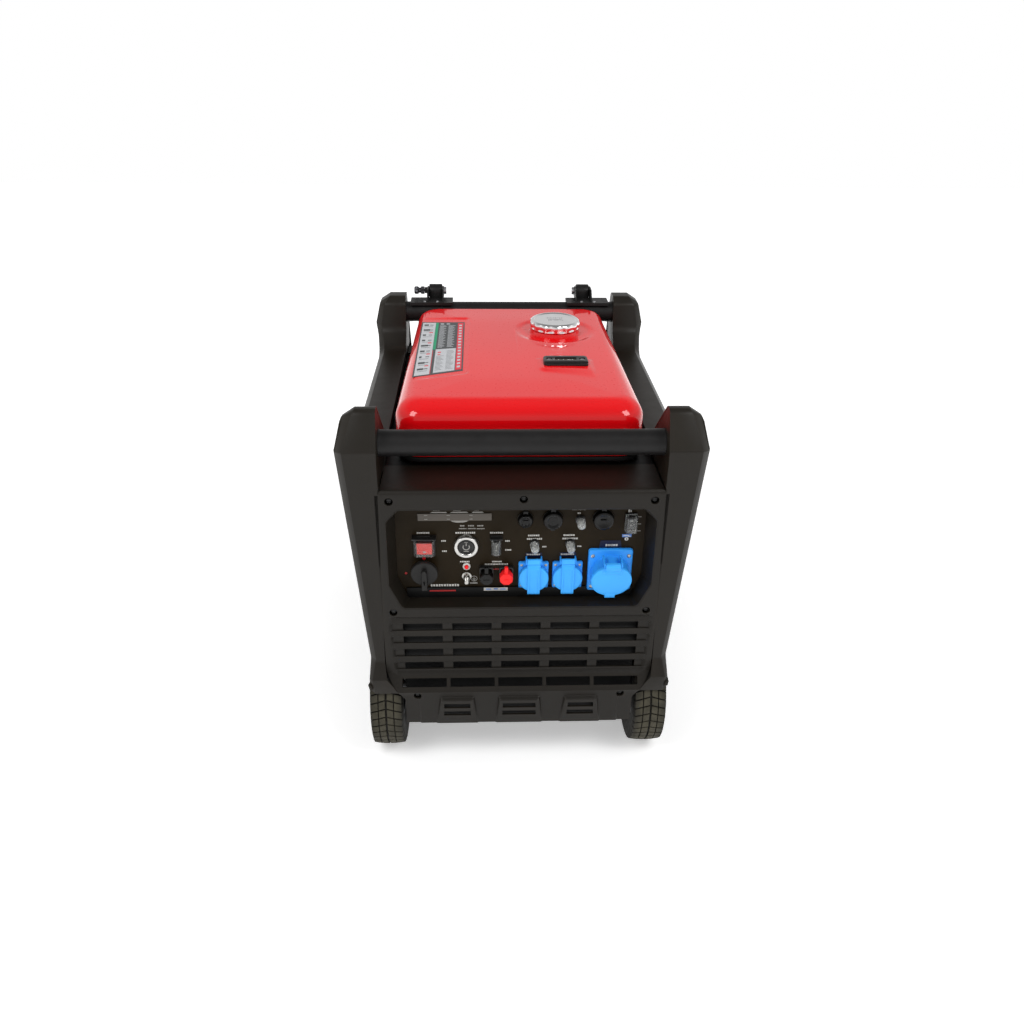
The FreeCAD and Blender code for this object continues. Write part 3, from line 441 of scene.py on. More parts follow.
def moulding(name, colour, roughness=0.42, grain=900, depth=0.05, edge_lift=1.7, shine=0.22):
    """Injection-moulded plastic: spark-eroded grain, slow mottling, and a lighter colour on sharp outer
    edges.
    """
    recipe = Recipe(name, roughness, Specular_IOR_Level=shine)
    mottle = recipe.spread(recipe.noise(14, 4), 0.3, 0.7)
    base = recipe.mix(mottle, scaled(colour, 0.94), scaled(colour, 1.06))
    recipe.colour(recipe.mix(recipe.maths("MULTIPLY", recipe.edges(), 0.5), base, scaled(colour, edge_lift)))
    recipe.rough(recipe.spread(recipe.noise(60, 5), 0.25, 0.75, roughness - 0.02, roughness + 0.04))
    recipe.bump(recipe.noise(grain, 2, 0.6), depth, 0.55)
    return recipe.material


def lacquer(name, colour):
    """Gloss lacquer over pressed steel: clear coat, faint orange peel and slow waves in the sheet."""
    recipe = Recipe(name, 0.32, 0.0, Specular_IOR_Level=0.06, Coat_Weight=0.85, Coat_Roughness=0.035,
                    Coat_IOR=1.52)
    drift = recipe.spread(recipe.noise(3.5, 2), 0.3, 0.7)
    recipe.colour(recipe.mix(drift, scaled(colour, 0.94), scaled(colour, 1.05)))
    recipe.rough(recipe.spread(recipe.noise(220, 3), 0.3, 0.7, 0.26, 0.36))
    recipe.bump(recipe.noise(9, 1), 0.25, 0.35)
    recipe.link(recipe.height, recipe.shader.inputs["Coat Normal"])
    return recipe.material


def metal(name, colour, roughness, brushed=0.0, spangle=0.0, tint=0.9):
    """Bare or plated metal with handling marks; brushed runs along X, spangle is zinc crystal."""
    recipe = Recipe(name, roughness, 1.0)
    smear = recipe.spread(recipe.noise(45, 5), 0.3, 0.7)
    base = recipe.mix(smear, scaled(colour, tint), colour)
    if spangle:
        cells = recipe.add("ShaderNodeTexVoronoi")
        recipe.link(recipe.place, cells.inputs["Vector"])
        cells.inputs["Scale"].default_value = spangle
        shade = recipe.spread(cells.outputs["Distance"], 0.0, 0.8, 0.0, 0.35)
        base = recipe.mix(shade, base, scaled(colour, 0.6))
    recipe.colour(base)
    recipe.rough(recipe.spread(recipe.noise(90, 5), 0.3, 0.7, roughness * 0.75, roughness * 1.35))
    if brushed:
        stretch = recipe.add("ShaderNodeMapping")
        recipe.link(recipe.place, stretch.inputs["Vector"])
        stretch.inputs["Scale"].default_value = (0.03, 1.0, 1.0)
        lines = recipe.add("ShaderNodeTexNoise")
        recipe.link(stretch.outputs["Vector"], lines.inputs["Vector"])
        lines.inputs["Scale"].default_value = brushed
        recipe.bump(lines.outputs["Fac"], 0.02, 0.3)
    else:
        recipe.bump(recipe.noise(700, 2), 0.01, 0.25)
    return recipe.material


def powder(name, colour, roughness=0.45, shine=0.2):
    """Powder-coated steel: a fine pebbled gloss with patches of dust."""
    recipe = Recipe(name, roughness, 0.0, Specular_IOR_Level=shine, Coat_Weight=0.04, Coat_Roughness=0.3)
    dust = recipe.spread(recipe.noise(25, 6), 0.45, 0.8, 0.0, 0.4)
    recipe.colour(recipe.mix(dust, colour, scaled(colour, 1.6)))
    recipe.rough(recipe.spread(recipe.noise(80, 4), 0.3, 0.7, roughness - 0.06, roughness + 0.1))
    recipe.bump(recipe.noise(1400, 2), 0.03, 0.4)
    return recipe.material


def rubber(name, colour, roughness=0.62, grain=1200):
    """Moulded rubber with a dry bloom."""
    recipe = Recipe(name, roughness, Specular_IOR_Level=0.25)
    bloom = recipe.spread(recipe.noise(30, 6), 0.4, 0.75)
    recipe.colour(recipe.mix(bloom, colour, scaled(colour, 1.7)))
    recipe.rough(recipe.spread(recipe.noise(70, 4), 0.3, 0.7, roughness - 0.08, roughness + 0.12))
    recipe.bump(recipe.noise(grain, 2), 0.04, 0.5)
    return recipe.material


def clear_silicone(name, clear):
    """The see-through boots over breakers and rockers."""
    recipe = Recipe(name, 0.18, 0.0, Transmission_Weight=clear, IOR=1.24)
    haze = recipe.spread(recipe.noise(120, 4), 0.35, 0.75)
    recipe.colour(recipe.mix(haze, (0.93, 0.94, 0.93), (0.80, 0.82, 0.81)))
    recipe.rough(recipe.spread(recipe.noise(150, 4), 0.3, 0.7, 0.08, 0.24))
    recipe.bump(recipe.noise(160, 2), 0.04, 0.3)
    return recipe.material


def print_ink(name, colour):
    """Screen-printed ink with a slightly broken edge."""
    recipe = Recipe(name, 0.55)
    thin = recipe.spread(recipe.noise(500, 3), 0.35, 0.7, 0.0, 0.4)
    recipe.colour(recipe.mix(thin, colour, scaled(colour, 0.55)))
    recipe.bump(recipe.noise(900, 2), 0.02, 0.3)
    return recipe.material


def tyre_rubber(name, colour, dust, axle, radius):
    """Tread rubber: dusty where it has rolled, darker in the grooves and on the sidewalls."""
    recipe = Recipe(name, 0.75, Specular_IOR_Level=0.2)
    apart = recipe.add("ShaderNodeSeparateXYZ")
    recipe.link(recipe.place, apart.inputs[0])
    across = recipe.maths("SUBTRACT", apart.outputs["Y"], axle[0] * MM)
    up = recipe.maths("SUBTRACT", apart.outputs["Z"], axle[1] * MM)
    reach = recipe.maths("SQRT", recipe.maths("ADD", recipe.maths("MULTIPLY", across, across),
                                              recipe.maths("MULTIPLY", up, up)))
    worn = recipe.spread(reach, (radius - 3.2) * MM, (radius - 0.8) * MM)
    patch = recipe.spread(recipe.noise(55, 6), 0.3, 0.7, 0.45, 1.0)
    base = recipe.mix(recipe.spread(recipe.noise(35, 5), 0.3, 0.7), scaled(colour, 0.7), scaled(colour, 1.3))
    recipe.colour(recipe.mix(recipe.maths("MULTIPLY", worn, patch), base, dust))
    recipe.rough(recipe.spread(recipe.noise(90, 4), 0.3, 0.7, 0.62, 0.85))
    recipe.bump(recipe.noise(800, 3), 0.08, 0.5)
    return recipe.material


CHARCOAL = (0.0100, 0.0080, 0.0056)
look = {
    "cage": moulding("moulded_charcoal", CHARCOAL, 0.40),
    "fascia": moulding("moulded_fascia", scaled(CHARCOAL, 0.9), 0.44),
    "gloss_black": moulding("satin_black", (0.0062, 0.0060, 0.0058), 0.28, 1400, 0.02, 1.5, 0.35),
    # Near-black used as painted shade: sheets, floors, rings and discs put in wells, gaps, slots and recesses
    # that are only in shade.
    "shade_fill": moulding("painted_shade_black", (0.0045, 0.0045, 0.0045), 0.5, 900, 0.04, 1.2, 0.18),
    "bar": powder("powder_black", (0.0085, 0.0080, 0.0080), 0.42),
    "tray": powder("powder_tray", (0.012, 0.012, 0.0125), 0.55),
    "panel": powder("panel_brown", (0.0150, 0.0100, 0.0045), 0.46, 0.06),
    "tank": lacquer("red_lacquer", (0.64, 0.0015, 0.004)),
    "chrome": metal("polished_chrome", (0.92, 0.92, 0.93), 0.07),
    "zinc": metal("bright_zinc", (0.62, 0.62, 0.64), 0.32, 0.0, 260),
    "nickel": metal("nickel_plate", (0.50, 0.49, 0.46), 0.28),
    "dark_metal": metal("blackened_steel", (0.10, 0.10, 0.11), 0.24),
    "steel": metal("brushed_steel", (0.42, 0.40, 0.38), 0.4, 900),
    "alloy": metal("cast_alloy", (0.55, 0.56, 0.57), 0.5, 0.0, 500),
    "copper": metal("varnished_copper", (0.55, 0.25, 0.12), 0.35, 1200),
    "rubber": rubber("black_rubber", (0.009, 0.009, 0.009)),
    "cap_rubber": rubber("gloss_rubber", (0.0022, 0.0021, 0.0020), 0.22),
    "grip": rubber("grip_rubber", (0.016, 0.016, 0.017), 0.7, 600),
    "blue": moulding("socket_blue", (0.030, 0.295, 0.84), 0.34, 1300, 0.02, 1.25),
    "navy": moulding("plate_navy", (0.004, 0.0075, 0.030), 0.4, 1300, 0.02, 1.2),
    "red": moulding("gloss_red", (0.85, 0.012, 0.016), 0.25, 1300, 0.015, 1.2),
    "rocker_red": moulding("rocker_red", (0.92, 0.022, 0.010), 0.3, 1000, 0.02, 1.2),
    "clear": clear_silicone("clear_silicone", 0.96),
    "hazy": clear_silicone("hazy_silicone", 0.84),
    "window": moulding("tinted_window", (0.066, 0.055, 0.043), 0.2, 1500, 0.008, 1.1, 0.4),
    "ink": print_ink("ink_white", (0.56, 0.55, 0.52)),
    "ink_dim": print_ink("ink_dim", (0.30, 0.29, 0.27)),
    "ink_red": print_ink("ink_red", (0.42, 0.01, 0.012)),
}
look["tyre"] = tyre_rubber("tread_rubber", (0.012, 0.011, 0.0085), (0.062, 0.056, 0.038), (tyre.y, tyre.z),
                           tyre.tall / 2)
look["muffler"] = metal("heated_steel", (0.36, 0.33, 0.30), 0.46, 0.0, 140)
look["hub"] = moulding("hub_nylon", (0.02, 0.02, 0.021), 0.45, 800, 0.04)
look["decal_grey"] = print_ink("decal_grey", (0.055, 0.058, 0.06))
look["decal_green"] = print_ink("decal_green", (0.01, 0.27, 0.13))
look["decal_red"] = print_ink("decal_red", (0.62, 0.03, 0.05))
look["paper"] = print_ink("decal_white", (0.47, 0.48, 0.50))
look["print_blue"] = print_ink("print_blue", (0.10, 0.22, 0.55))
look["idle_grey"] = moulding("rocker_grey", (0.05, 0.048, 0.045), 0.35, 1200, 0.02, 1.3)
look["satin_ring"] = metal("satin_ring", (0.58, 0.57, 0.55), 0.28)
look["stem_grey"] = moulding("stem_grey", (0.22, 0.21, 0.20), 0.4, 1200, 0.02, 1.2)
look["knob"] = moulding("knob_nylon", (0.0100, 0.0095, 0.0090), 0.38, 1200, 0.03, 1.4)
look["cap_red"] = rubber("red_rubber", (0.80, 0.012, 0.012), 0.45)
look["lid_blue"] = moulding("lid_blue", (0.045, 0.37, 0.90), 0.36, 1300, 0.02, 1.1)

# ---------------------------------------------------------------- cage sides

CAGE_CORNERS = [(-365, 164.3, 0, 4), (-365, 193, 5, 5), (FACE, 223, 14, 9), (FACE, 612, 8, 12),
                (-323, 670, 13, 12), (-305, 670, 14, 12), (-228, 600, 40, 12), (-200, 565, 20, 12),
                (258, 565, 40, 12), (293, 600, 30, 12), (299, 652, 14, 10), (312, 666, 13, 12),
                (350, 666, 13, 12), (375, 612, 13, 12), (375, 130, 14, 12), (360, 100, 13, 9)]
CAGE_OUT = [(100, 255), (157, 255), (193, 255.5), (226, 253), (472, 269.5), (580, 279), (606, 283.5),
            (612, 284), (618, 282.5), (650, 275), (670, 264)]
CAGE_SEAM = [(152, 199), (183.5, 221), (201, 228.5), (548.5, 228.5), (549, 220)]
ARCH = (-270.0, 105.0, 112.0)
ARCH_START = (-158.1, 100.0)
SLOT_BANKS = ((-170, -20), (20, 170))
SLOT_ROWS = [300 + 24 * n for n in range(6)]
SLOT_HEIGHT = 9
CHAMFER = 12.5


def cage_outlines():
    """The side view of a cage side, less its wheel arch, and the edge of its flank inside the chamfer."""
    middle_y, middle_z, radius = ARCH
    first = math.atan2(CAGE_CORNERS[0][1] - middle_z, CAGE_CORNERS[0][0] - middle_y)
    last = math.atan2(ARCH_START[1] - middle_z, ARCH_START[0] - middle_y)
    arch = [(middle_y + radius * math.cos(last + (first - last) * n / 36),
             middle_z + radius * math.sin(last + (first - last) * n / 36), 0, 5) for n in range(36)]
    corners = arch + CAGE_CORNERS
    plain = [corner[:2] for corner in corners]
    facing = 1 if area(plain) > 0 else -1
    flank = []
    for index, (y, z, radius, amount) in enumerate(corners):
        before, here, after = Vector(plain[index - 1]), Vector((y,
                z)), Vector(plain[(index + 1) % len(plain)])
        into, out = (here - before).normalized(), (after - here).normalized()
        normal = (Vector((-into.y, into.x)) + Vector((-out.y, out.x))) * facing
        normal.normalize()
        moved = here + normal * (amount / max(0.5, normal.dot(Vector((-into.y, into.x)) * facing)))
        bulges = (into.x * out.y - into.y * out.x) * facing > 0
        flank.append((*moved, 0 if radius == 0 else max(1.0, radius + (-amount if bulges else amount))))
    return rounded([corner[:3] for corner in corners], 7), rounded(flank, 7)


def near_outline(u, v, outline):
    """How far a point is from an outline."""
    best = 1e9
    for (ax, ay), (bx, by) in zip(outline, outline[1:] + outline[:1]):
        dx, dy = bx - ax, by - ay
        share = max(0.0, min(1.0, ((u - ax) * dx + (v - ay) * dy) / (dx * dx + dy * dy + 1e-9)))
        best = min(best, math.hypot(u - ax - share * dx, v - ay - share * dy))
    return best


def cut_flank(outline):
    """The flat flank, cut into a grid whose lines lie on the slots, as a bmesh in the YZ plane."""
    work = bmesh.new()
    work.faces.new([work.verts.new((0, y, z)) for y, z in outline])
    ys = grid_lines(-352, 366, 13, [value for bank in SLOT_BANKS for value in bank])
    zs = grid_lines(108, 664, 13, [z for row in SLOT_ROWS for z in (row, row + SLOT_HEIGHT)]
                    + [z for z, _ in CAGE_OUT])
    for normal, values in (((0, 1, 0), ys), ((0, 0, 1), zs)):
        for value in values[1:-1]:
            bmesh.ops.bisect_plane(work, geom=work.verts[:] + work.edges[:] + work.faces[:],
                                   plane_co=(0, value * normal[1], value * normal[2]), plane_no=normal,
                                   dist=1e-3)
    return work


def cage_side(side, name, node):
    """One moulded cage side: a rim that follows the outline, a chamfer, and a recessed, vented flank."""
    outline, flank = cage_outlines()
    work = cut_flank(flank)
    doomed = []
    for face in work.faces:
        middle = face.calc_center_median()
        in_bank = any(low < middle.y < high for low, high in SLOT_BANKS)
        if in_bank and any(row < middle.z < row + SLOT_HEIGHT for row in SLOT_ROWS):
            doomed.append(face)
    for vert in work.verts:
        depth = 3.2 * ramp(near_outline(vert.co.y, vert.co.z, flank), 15, 25)
        depth *= ramp(vert.co.z, 236, 250) * (1 - ramp(vert.co.z, 520, 534))
        vert.co.x = between(CAGE_OUT, vert.co.z) - depth
    bmesh.ops.delete(work, geom=doomed, context="FACES")
    rim = [work.verts.new((between(CAGE_SEAM, z), y, z)) for y, z in outline]
    lip = [work.verts.new((between(CAGE_OUT, z) - min(CHAMFER, 1.05 * math.dist((y, z), flat)), y, z))
           for (y, z), flat in zip(outline, flank)]
    edge = [work.verts.new((between(CAGE_OUT, z), y, z)) for y, z in flank]
    for a, b in ((rim, lip), (lip, edge)):
        for n in range(len(outline)):
            m = (n + 1) % len(outline)
            work.faces.new((a[n], a[m], b[m], b[n]))
    bmesh.ops.remove_doubles(work, verts=work.verts[:], dist=0.02)
    if side < 0:
        bmesh.ops.scale(work, vec=(-1, 1, 1), verts=work.verts[:])
    piece = from_bmesh(name, work)
    if sum(face.normal.x * face.area for face in piece.data.polygons) * side < 0:
        piece.data.flip_normals()
    step = piece.modifiers.new("wall", "SOLIDIFY")
    step.thickness = 3.4 * MM
    step.offset = -1
    settle(piece)
    bevel(piece, 1.2, 2, 24)
    return finished(piece, "root", "shell_plastic", look["cage"], node, sharp=34)


def cage_liner(side, name):
    """The inner wall of the posts and the rail, above the fascia shelf."""
    work = bmesh.new()
    outline, _ = cage_outlines()
    verts = [work.verts.new((0, y, z)) for y, z in inset(outline, 1.0)]
    work.faces.new(verts)
    bmesh.ops.bisect_plane(work, geom=work.verts[:] + work.edges[:] + work.faces[:], plane_co=(0, 0, 549.5),
                           plane_no=(0, 0, -1), clear_outer=True)
    grown = bmesh.ops.extrude_face_region(work, geom=work.faces[:])
    for vert in work.verts:
        vert.co.x = side * 220.2
    for vert in [item for item in grown["geom"] if isinstance(item, bmesh.types.BMVert)]:
        vert.co.x = side * 223
    piece = bevel(from_bmesh(name, work), 0.8, 2, 50)
    return finished(piece, "root", "shell_plastic", look["cage"])


for side, word in ((1, "right"), (-1, "left")):
    cage_side(side, f"{word}_cage_skin", f"{word}_side_frame")
    cage_liner(side, f"{word}_cage_liner")

# ---------------------------------------------------------------- front fascia

LOUVRE_X = [-162.5, -80.3, 1.9, 84.1, 166.3]
LOUVRE_HALF = 33
LOW_LOUVRE_HALF = 38.0
LOUVRE_Z = [(283.3, 298.8), (257.5, 272.8), (229.6, 246.2), (202.2, 218.2)]
LOW_LOUVRE_Z = (176, 189)
FIELD_MIDDLE = 1.8
FIELD_HALF = [(210, 212), (291, 216.7)]
BUMPS = [(-107, 35.5, 28.5), (0, 40, 35), (106, 35, 28)]
BUMP_SLOTS = [(119, 129), (136.5, 147)]
BUMP_RELIEF = 5.2
BUMP_SLOT_HALF = [(-107, 24), (0, 30), (106, 24)]
FASCIA_HALF = [(100, 195.5), (152, 196), (183.5, 219.5), (201, 227)]


def louvre_slope(z):
    """How far the louvre field stands out at a height: each slat leans out towards its lower lip."""
    table = [(LOUVRE_Z[-1][0] - 5, 2.6)]
    for low, high in reversed(LOUVRE_Z):
        table += [(low, 2.2), (low + 0.7, 0.2), (high - 2.5, 0.2), (high - 0.2, 3.6), (high + 0.8, 4.0)]
    return between(table + [(LOUVRE_Z[0][1] + 9, 2.0)], z)


def bump_half(foot, head, z):
    """Half the width of a raised skirt vent at a height."""
    return foot + (head - foot) * (z - 103) / 55


def follow_bumps(x, z):
    """Leans the mesh's upright lines so that they run along the sloping sides of the skirt vents."""
    shift = 0.0
    for middle, foot, head in BUMPS:
        near = 1 - ramp(abs(abs(x - middle) - foot), 4, 16)
        shift += math.copysign(near, x - middle) * (bump_half(foot, head, z) - foot)
    return x + shift * (1 - ramp(z, 158, 174))


def fascia_offset(x, z):
    """Outward relief of the front face: louvre field, its frame, the skirt's raised vents and side steps."""
    out = 0.0
    if 193 < z < 318:
        edge = between(FIELD_HALF, z)
        inside = (1 - ramp(abs(x - FIELD_MIDDLE), edge - 3, edge + 4)) * ramp(z, 194,
                198) * (1 - ramp(z, 309, 314))
        out += inside * (louvre_slope(z) - 6.0)
    if z < 166:
        for middle, foot, head in BUMPS:
            gap = bump_half(foot, head, z) - abs(x - middle)
            hood = between([(100, 1.6), (156, 1.6 + BUMP_RELIEF)], z)
            out += hood * ramp(gap, -1.6, 2.2) * (1 - ramp(z, 153.5, 158))
        out -= 1.8 * ramp(abs(x), 170, 173)
    return out


def front_fascia():
    """The whole front moulding as one sheet, from the top shelf over the lip down to the skirt."""
    xs = grid_lines(-227, 227, 6, [x + s * LOUVRE_HALF for x in LOUVRE_X for s in (-1, 1)]
                    + [x + s * half for x, half in BUMP_SLOT_HALF for s in (-1, 1)]
                    + [x + s * LOW_LOUVRE_HALF for x in LOUVRE_X for s in (-1, 1)]
                    + [FIELD_MIDDLE + s * value for s in (-1, 1) for value in (209, 212, 214, 216, 218, 221)]
                    + [x + s * (f + e) for x, f, _ in BUMPS for s in (-1, 1) for e in (-3, -1.2, 0, 1.2, 2.4)]
                    + [s * value for s in (-1, 1) for value in (170, 171.5, 173, 196)])
    ledges = [z for low, high in LOUVRE_Z for z in (low, low + 0.7, high - 2.5, high - 0.2, high, high + 0.8)]
    zs = grid_lines(100, 541, 7, ledges + [z for pair in BUMP_SLOTS for z in pair] + list(LOW_LOUVRE_Z)
                    + [151, 153.5, 154.8, 156, 157, 158, 161, 168, 194, 196, 198, 309, 311.5, 314])
    rows = [(y, 546.4 + 1.4 * ramp(y, -300, -344)) for y in (-256, -270, -285, -300, -315, -330, -343)]
    rows += [(-343 - 7 * math.sin(a), 541 + 7 * math.cos(a)) for a in (0.4, 0.8, 1.2)]
    for z in reversed(zs):
        lean = FACE + (SKIRT - FACE) * min(1.0, max(0.0, (198 - z) / 30))
        rows.append((lean, z))
    verts, faces = [], []
    for y, z in rows:
        half = between(FASCIA_HALF, z) if y < -347 or z < 540 else 219.2
        for x in xs:
            here = max(-half, min(half, follow_bumps(x, z)))
            out = fascia_offset(here, z) if z < 541 else 0.0
            verts.append((here, y - out, z))
    wide = len(xs)
    for row in range(len(rows) - 1):
        y, z = [(a + b) / 2 for a, b in zip(rows[row], rows[row + 1])]
        for n in range(wide - 1):
            x = (xs[n] + xs[n + 1]) / 2
            in_column = any(abs(x - middle) < LOUVRE_HALF for middle in LOUVRE_X)
            if y < -340 and in_column and any(low < z < high for low, high in LOUVRE_Z):
                continue
            in_low_column = any(abs(x - middle) < LOW_LOUVRE_HALF for middle in LOUVRE_X)
            if in_low_column and LOW_LOUVRE_Z[0] < z < LOW_LOUVRE_Z[1]:
                continue
            in_bump = any(abs(x - middle) < half for middle, half in BUMP_SLOT_HALF)
            if in_bump and any(low < z < high for low, high in BUMP_SLOTS):
                continue
            first = row * wide + n
            faces.append((first, first + 1, first + 1 + wide, first + wide))
    piece = make("fascia_skin", verts, faces)
    work = bmesh.new()
    work.from_mesh(piece.data)
    bmesh.ops.remove_doubles(work, verts=work.verts[:], dist=0.05 * MM)
    bmesh.ops.dissolve_degenerate(work, edges=work.edges[:], dist=0.05 * MM)
    work.to_mesh(piece.data)
    work.free()
    facing = sum(face.normal.y * face.area for face in piece.data.polygons)
    if facing > 0:
        piece.data.flip_normals()
    thicken(piece, 3.6)
    cutters = [loft("opening_cutter", [[(x, y, z) for x, z in inset(opening(), -grow)]
                                       for y, grow in ((FACE - 6, 6.5), (FACE, 2.6), (FACE + 1.6, 0.6),
                                                       (FACE + 12, 0.2))])]
    for x, y, z in SCREW_SPOTS:
        cutters.append(lathe("screw_cutter", [(0, -4), (7.4, -4), (6.6, 0.2), (6.2, 12), (0, 12)],
                             (x, y, z), "Y", 32))
    carve(piece, *cutters)
    return finished(piece, "root", "fascia_plastic", look["fascia"], "front_fascia", sharp=26)


def opening(wide=213.0, short=193.0, low=331.5, high=513.5, corner_low=375.0, corner_high=493.0, radius=9):
    """The eight-sided opening round the control panel."""
    right = [(short, high, radius), (wide - 1, corner_high, radius), (wide, corner_low, radius),
             (short, low, radius)]
    return rounded(right + [(-x, z, r) for x, z, r in reversed(right)], 5)


SCREW_SPOTS = [(205.5, FACE, 530), (-205.5, FACE, 530), (2, FACE, 533), (209, FACE, 323), (-209, FACE, 323),
               (175, SKIRT + 1.6, 160), (-175, SKIRT + 1.6, 160)]


def recess_collar():
    """The sloping walls between the opening and the panel, a black step below the panel that is painted
    shade, and black sheets of painted shade behind the front's vent slots.
    """
    shapes = [(FACE + 1.2, opening(213.4, 193.4, 331.2, 513.8)), (FACE + 14, opening(209, 190, 331.2, 511)),
              (PANEL - 0.2, opening(202, 186, 331.2, 507.5, 372, 490))]
    inner = [[(x, y, z) for x, z in shape] for y, shape in shapes]
    outer = [[(x, y, z) for x, z in inset(shape, -3)] for y, shape in reversed(shapes)]
    collar = loft("recess_collar", inner + outer, ring=True)
    finished(collar, "root", "fascia_plastic", look["fascia"], sharp=35)
    # The black box below the panel is painted shade: it stands in for the shadow at the foot of the recess.
    step = block("recess_shade_step", (-188, 188), (PANEL - 3.5, PANEL - 0.2), (331.4, 350.5), 0.8)
    finished(step, "root", "fascia_plastic", look["shade_fill"])
    inner_tyre = min(abs(tyre.x0), abs(tyre.x1)) - 4
    tyre_head = tyre.z1 + 5
    # A black sheet of painted shade behind the louvres, so the openings show shade rather than the light
    # behind them.
    front_shade_slab = slab("fascia_shade_sheet", [(-inner_tyre, 105), (inner_tyre, 105), (inner_tyre, tyre_head),
                                     (215, tyre_head),
                                     (215, 326), (-215, 326), (-215, tyre_head), (-inner_tyre, tyre_head)],
                   "XZ",
                   -334, -331, 0.8)
    finished(front_shade_slab, "root", "fascia_plastic", look["shade_fill"])
    # Another black sheet of painted shade, behind the skirt's vent slots.
    skirt_shade_slab = block("skirt_shade_sheet", (-190, 190), (SKIRT + 9, SKIRT + 12), (104, 164), 0.8)
    return finished(skirt_shade_slab, "root", "fascia_plastic", look["shade_fill"])


def pan_screw(name, centre, radius=5.0, axis="Y", out=-1, material="zinc", slot="zinc", body="root"):
    """A domed screw head with a cross recess; out is the direction it faces along its axis."""
    head = lathe(name, [(0, out * 2.6), (radius * 0.55, out * 2.4), (radius * 0.88, out * 1.5),
                        (radius, out * 0.4),
                        (radius, -out * 1.5), (0, -out * 1.5)], centre, axis, 32)
    arm = radius * 0.62
    cutters = []
    for half_a, half_b in ((arm, radius * 0.13), (radius * 0.13, arm)):
        spans = {"Y": ((centre[0] - half_a, centre[0] + half_a), (centre[1] - 4, centre[1] - 1.1),
                       (centre[2] - half_b, centre[2] + half_b)),
                 "Z": ((centre[0] - half_a, centre[0] + half_a), (centre[1] - half_b, centre[1] + half_b),
                       (centre[2] + 1.1, centre[2] + 4))}
        cutters.append(block("cross", *spans[axis], edge=0))
    carve(head, *cutters)
    return finished(head, body, slot, look[material], sharp=30)


front_fascia()
recess_collar()
for number, (x, y, z) in enumerate(SCREW_SPOTS):
    head = pan_screw(f"fascia_screw_{number}", (x, y + 5, z), 4.6, material="gloss_black")
    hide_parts("fascia_screws")

# ---------------------------------------------------------------- seats: frames that point out of a face


def seat(x, y, z, facing="front", lean=0.0):
    """A frame whose Z points out of a face and whose Y points up it; lean tips the front one down."""
    if facing == "front":
        c, s = math.cos(math.radians(lean)), math.sin(math.radians(lean))
        columns = ((1, 0, 0), (0, -s, c), (0, -c, -s))
    elif facing == "rear":
        columns = ((-1, 0, 0), (0, 0, 1), (0, 1, 0))
    elif facing == "top":
        columns = ((1, 0, 0), (0, 1, 0), (0, 0, 1))
    elif facing == "right":
        columns = ((0, 1, 0), (0, 0, 1), (1, 0, 0))
    else:
        columns = ((0, -1, 0), (0, 0, 1), (-1, 0, 0))
    return Matrix.Translation((x, y, z)) @ Matrix(columns).transposed().to_4x4()


def on_panel(x, z, proud=0.0):
    """A seat on the control panel."""
    return seat(x, PANEL - proud, z)


def turned(name, profile, place, segments=48, wave=None):
    """A lathe whose axis is a seat's Z, from (radius, height) points."""
    return lathe(name, profile, None, segments=segments, wave=wave, matrix=place)


def pressed(name, outline, low, high, place, edge=0.0, draft=0.0, segments=2):
    """An outline drawn out along a seat's Z, narrowing by a draft, with rounded edges."""
    top = inset(outline, draft) if draft else outline
    loops = [[tuple(place @ Vector((u, v, low))) for u, v in outline],
             [tuple(place @ Vector((u, v, high))) for u, v in top]]
    piece = loft(name, loops)
    return bevel(piece, edge, segments, 35) if edge else piece


def ring_plate(name, outer, inner, low, high, place, edge=0.6):
    """A flat ring between two outlines with the same number of points."""
    loops = [[tuple(place @ Vector((u, v, w))) for u, v in shape]
             for shape, w in ((outer, low), (outer, high), (inner, high), (inner, low))]
    return bevel(loft(name, loops, ring=True), edge, 2, 40)


def oblong(u, v, width, height, radius, steps=5):
    """A rectangle with round corners about a middle."""
    a, b = width / 2, height / 2
    return rounded([(u - a, v - b, radius), (u + a, v - b, radius), (u + a, v + b, radius),
                    (u - a, v + b, radius)],
                   steps)


def polygon(u, v, radius, count, turn=0.0):
    """A regular polygon."""
    return [(u + radius * math.cos(turn + 2 * math.pi * n / count),
             v + radius * math.sin(turn + 2 * math.pi * n / count)) for n in range(count)]


def marks(name, bars, place, material, body="root", slot="panel_plate", low=0.0, high=0.3):
    """Printed or embossed bars (u, v, width, height) on a seat, as one piece."""
    verts, faces = [], []
    for u, v, width, height in bars:
        first = len(verts)
        for w in (low, high):
            verts += [tuple(place @ Vector((u + a * width / 2, v + b * height / 2, w)))
                      for a, b in ((-1, -1), (1, -1), (1, 1), (-1, 1))]
        faces += [tuple(first + n for n in face) for face in
                  ((3, 2, 1, 0), (4, 5, 6, 7), (0, 1, 5, 4), (1, 2, 6, 5), (2, 3, 7, 6), (3, 0, 4, 7))]
    piece = outward_only(make(name, verts, faces))
    return finished(piece, body, slot, look[material], sharp=20)


def outward_only(piece):
    """Makes face normals point outwards without joining any points."""
    work = bmesh.new()
    work.from_mesh(piece.data)
    bmesh.ops.recalc_face_normals(work, faces=work.faces[:])
    work.to_mesh(piece.data)
    work.free()
    return piece


def word(u, v, length, height, seed=0):
    """A stand-in for a printed word: a row of short bars whose widths follow a fixed pattern."""
    bars, at, n = [], u - length / 2, seed
    while at < u + length / 2 - 0.6:
        width = height * (0.55 + 0.25 * ((n * 7) % 3) / 2)
        bars.append((at + width / 2, v, width, height * (0.86 if n % 3 else 1.0)))
        at += width + height * 0.28
        n += 1
    return bars


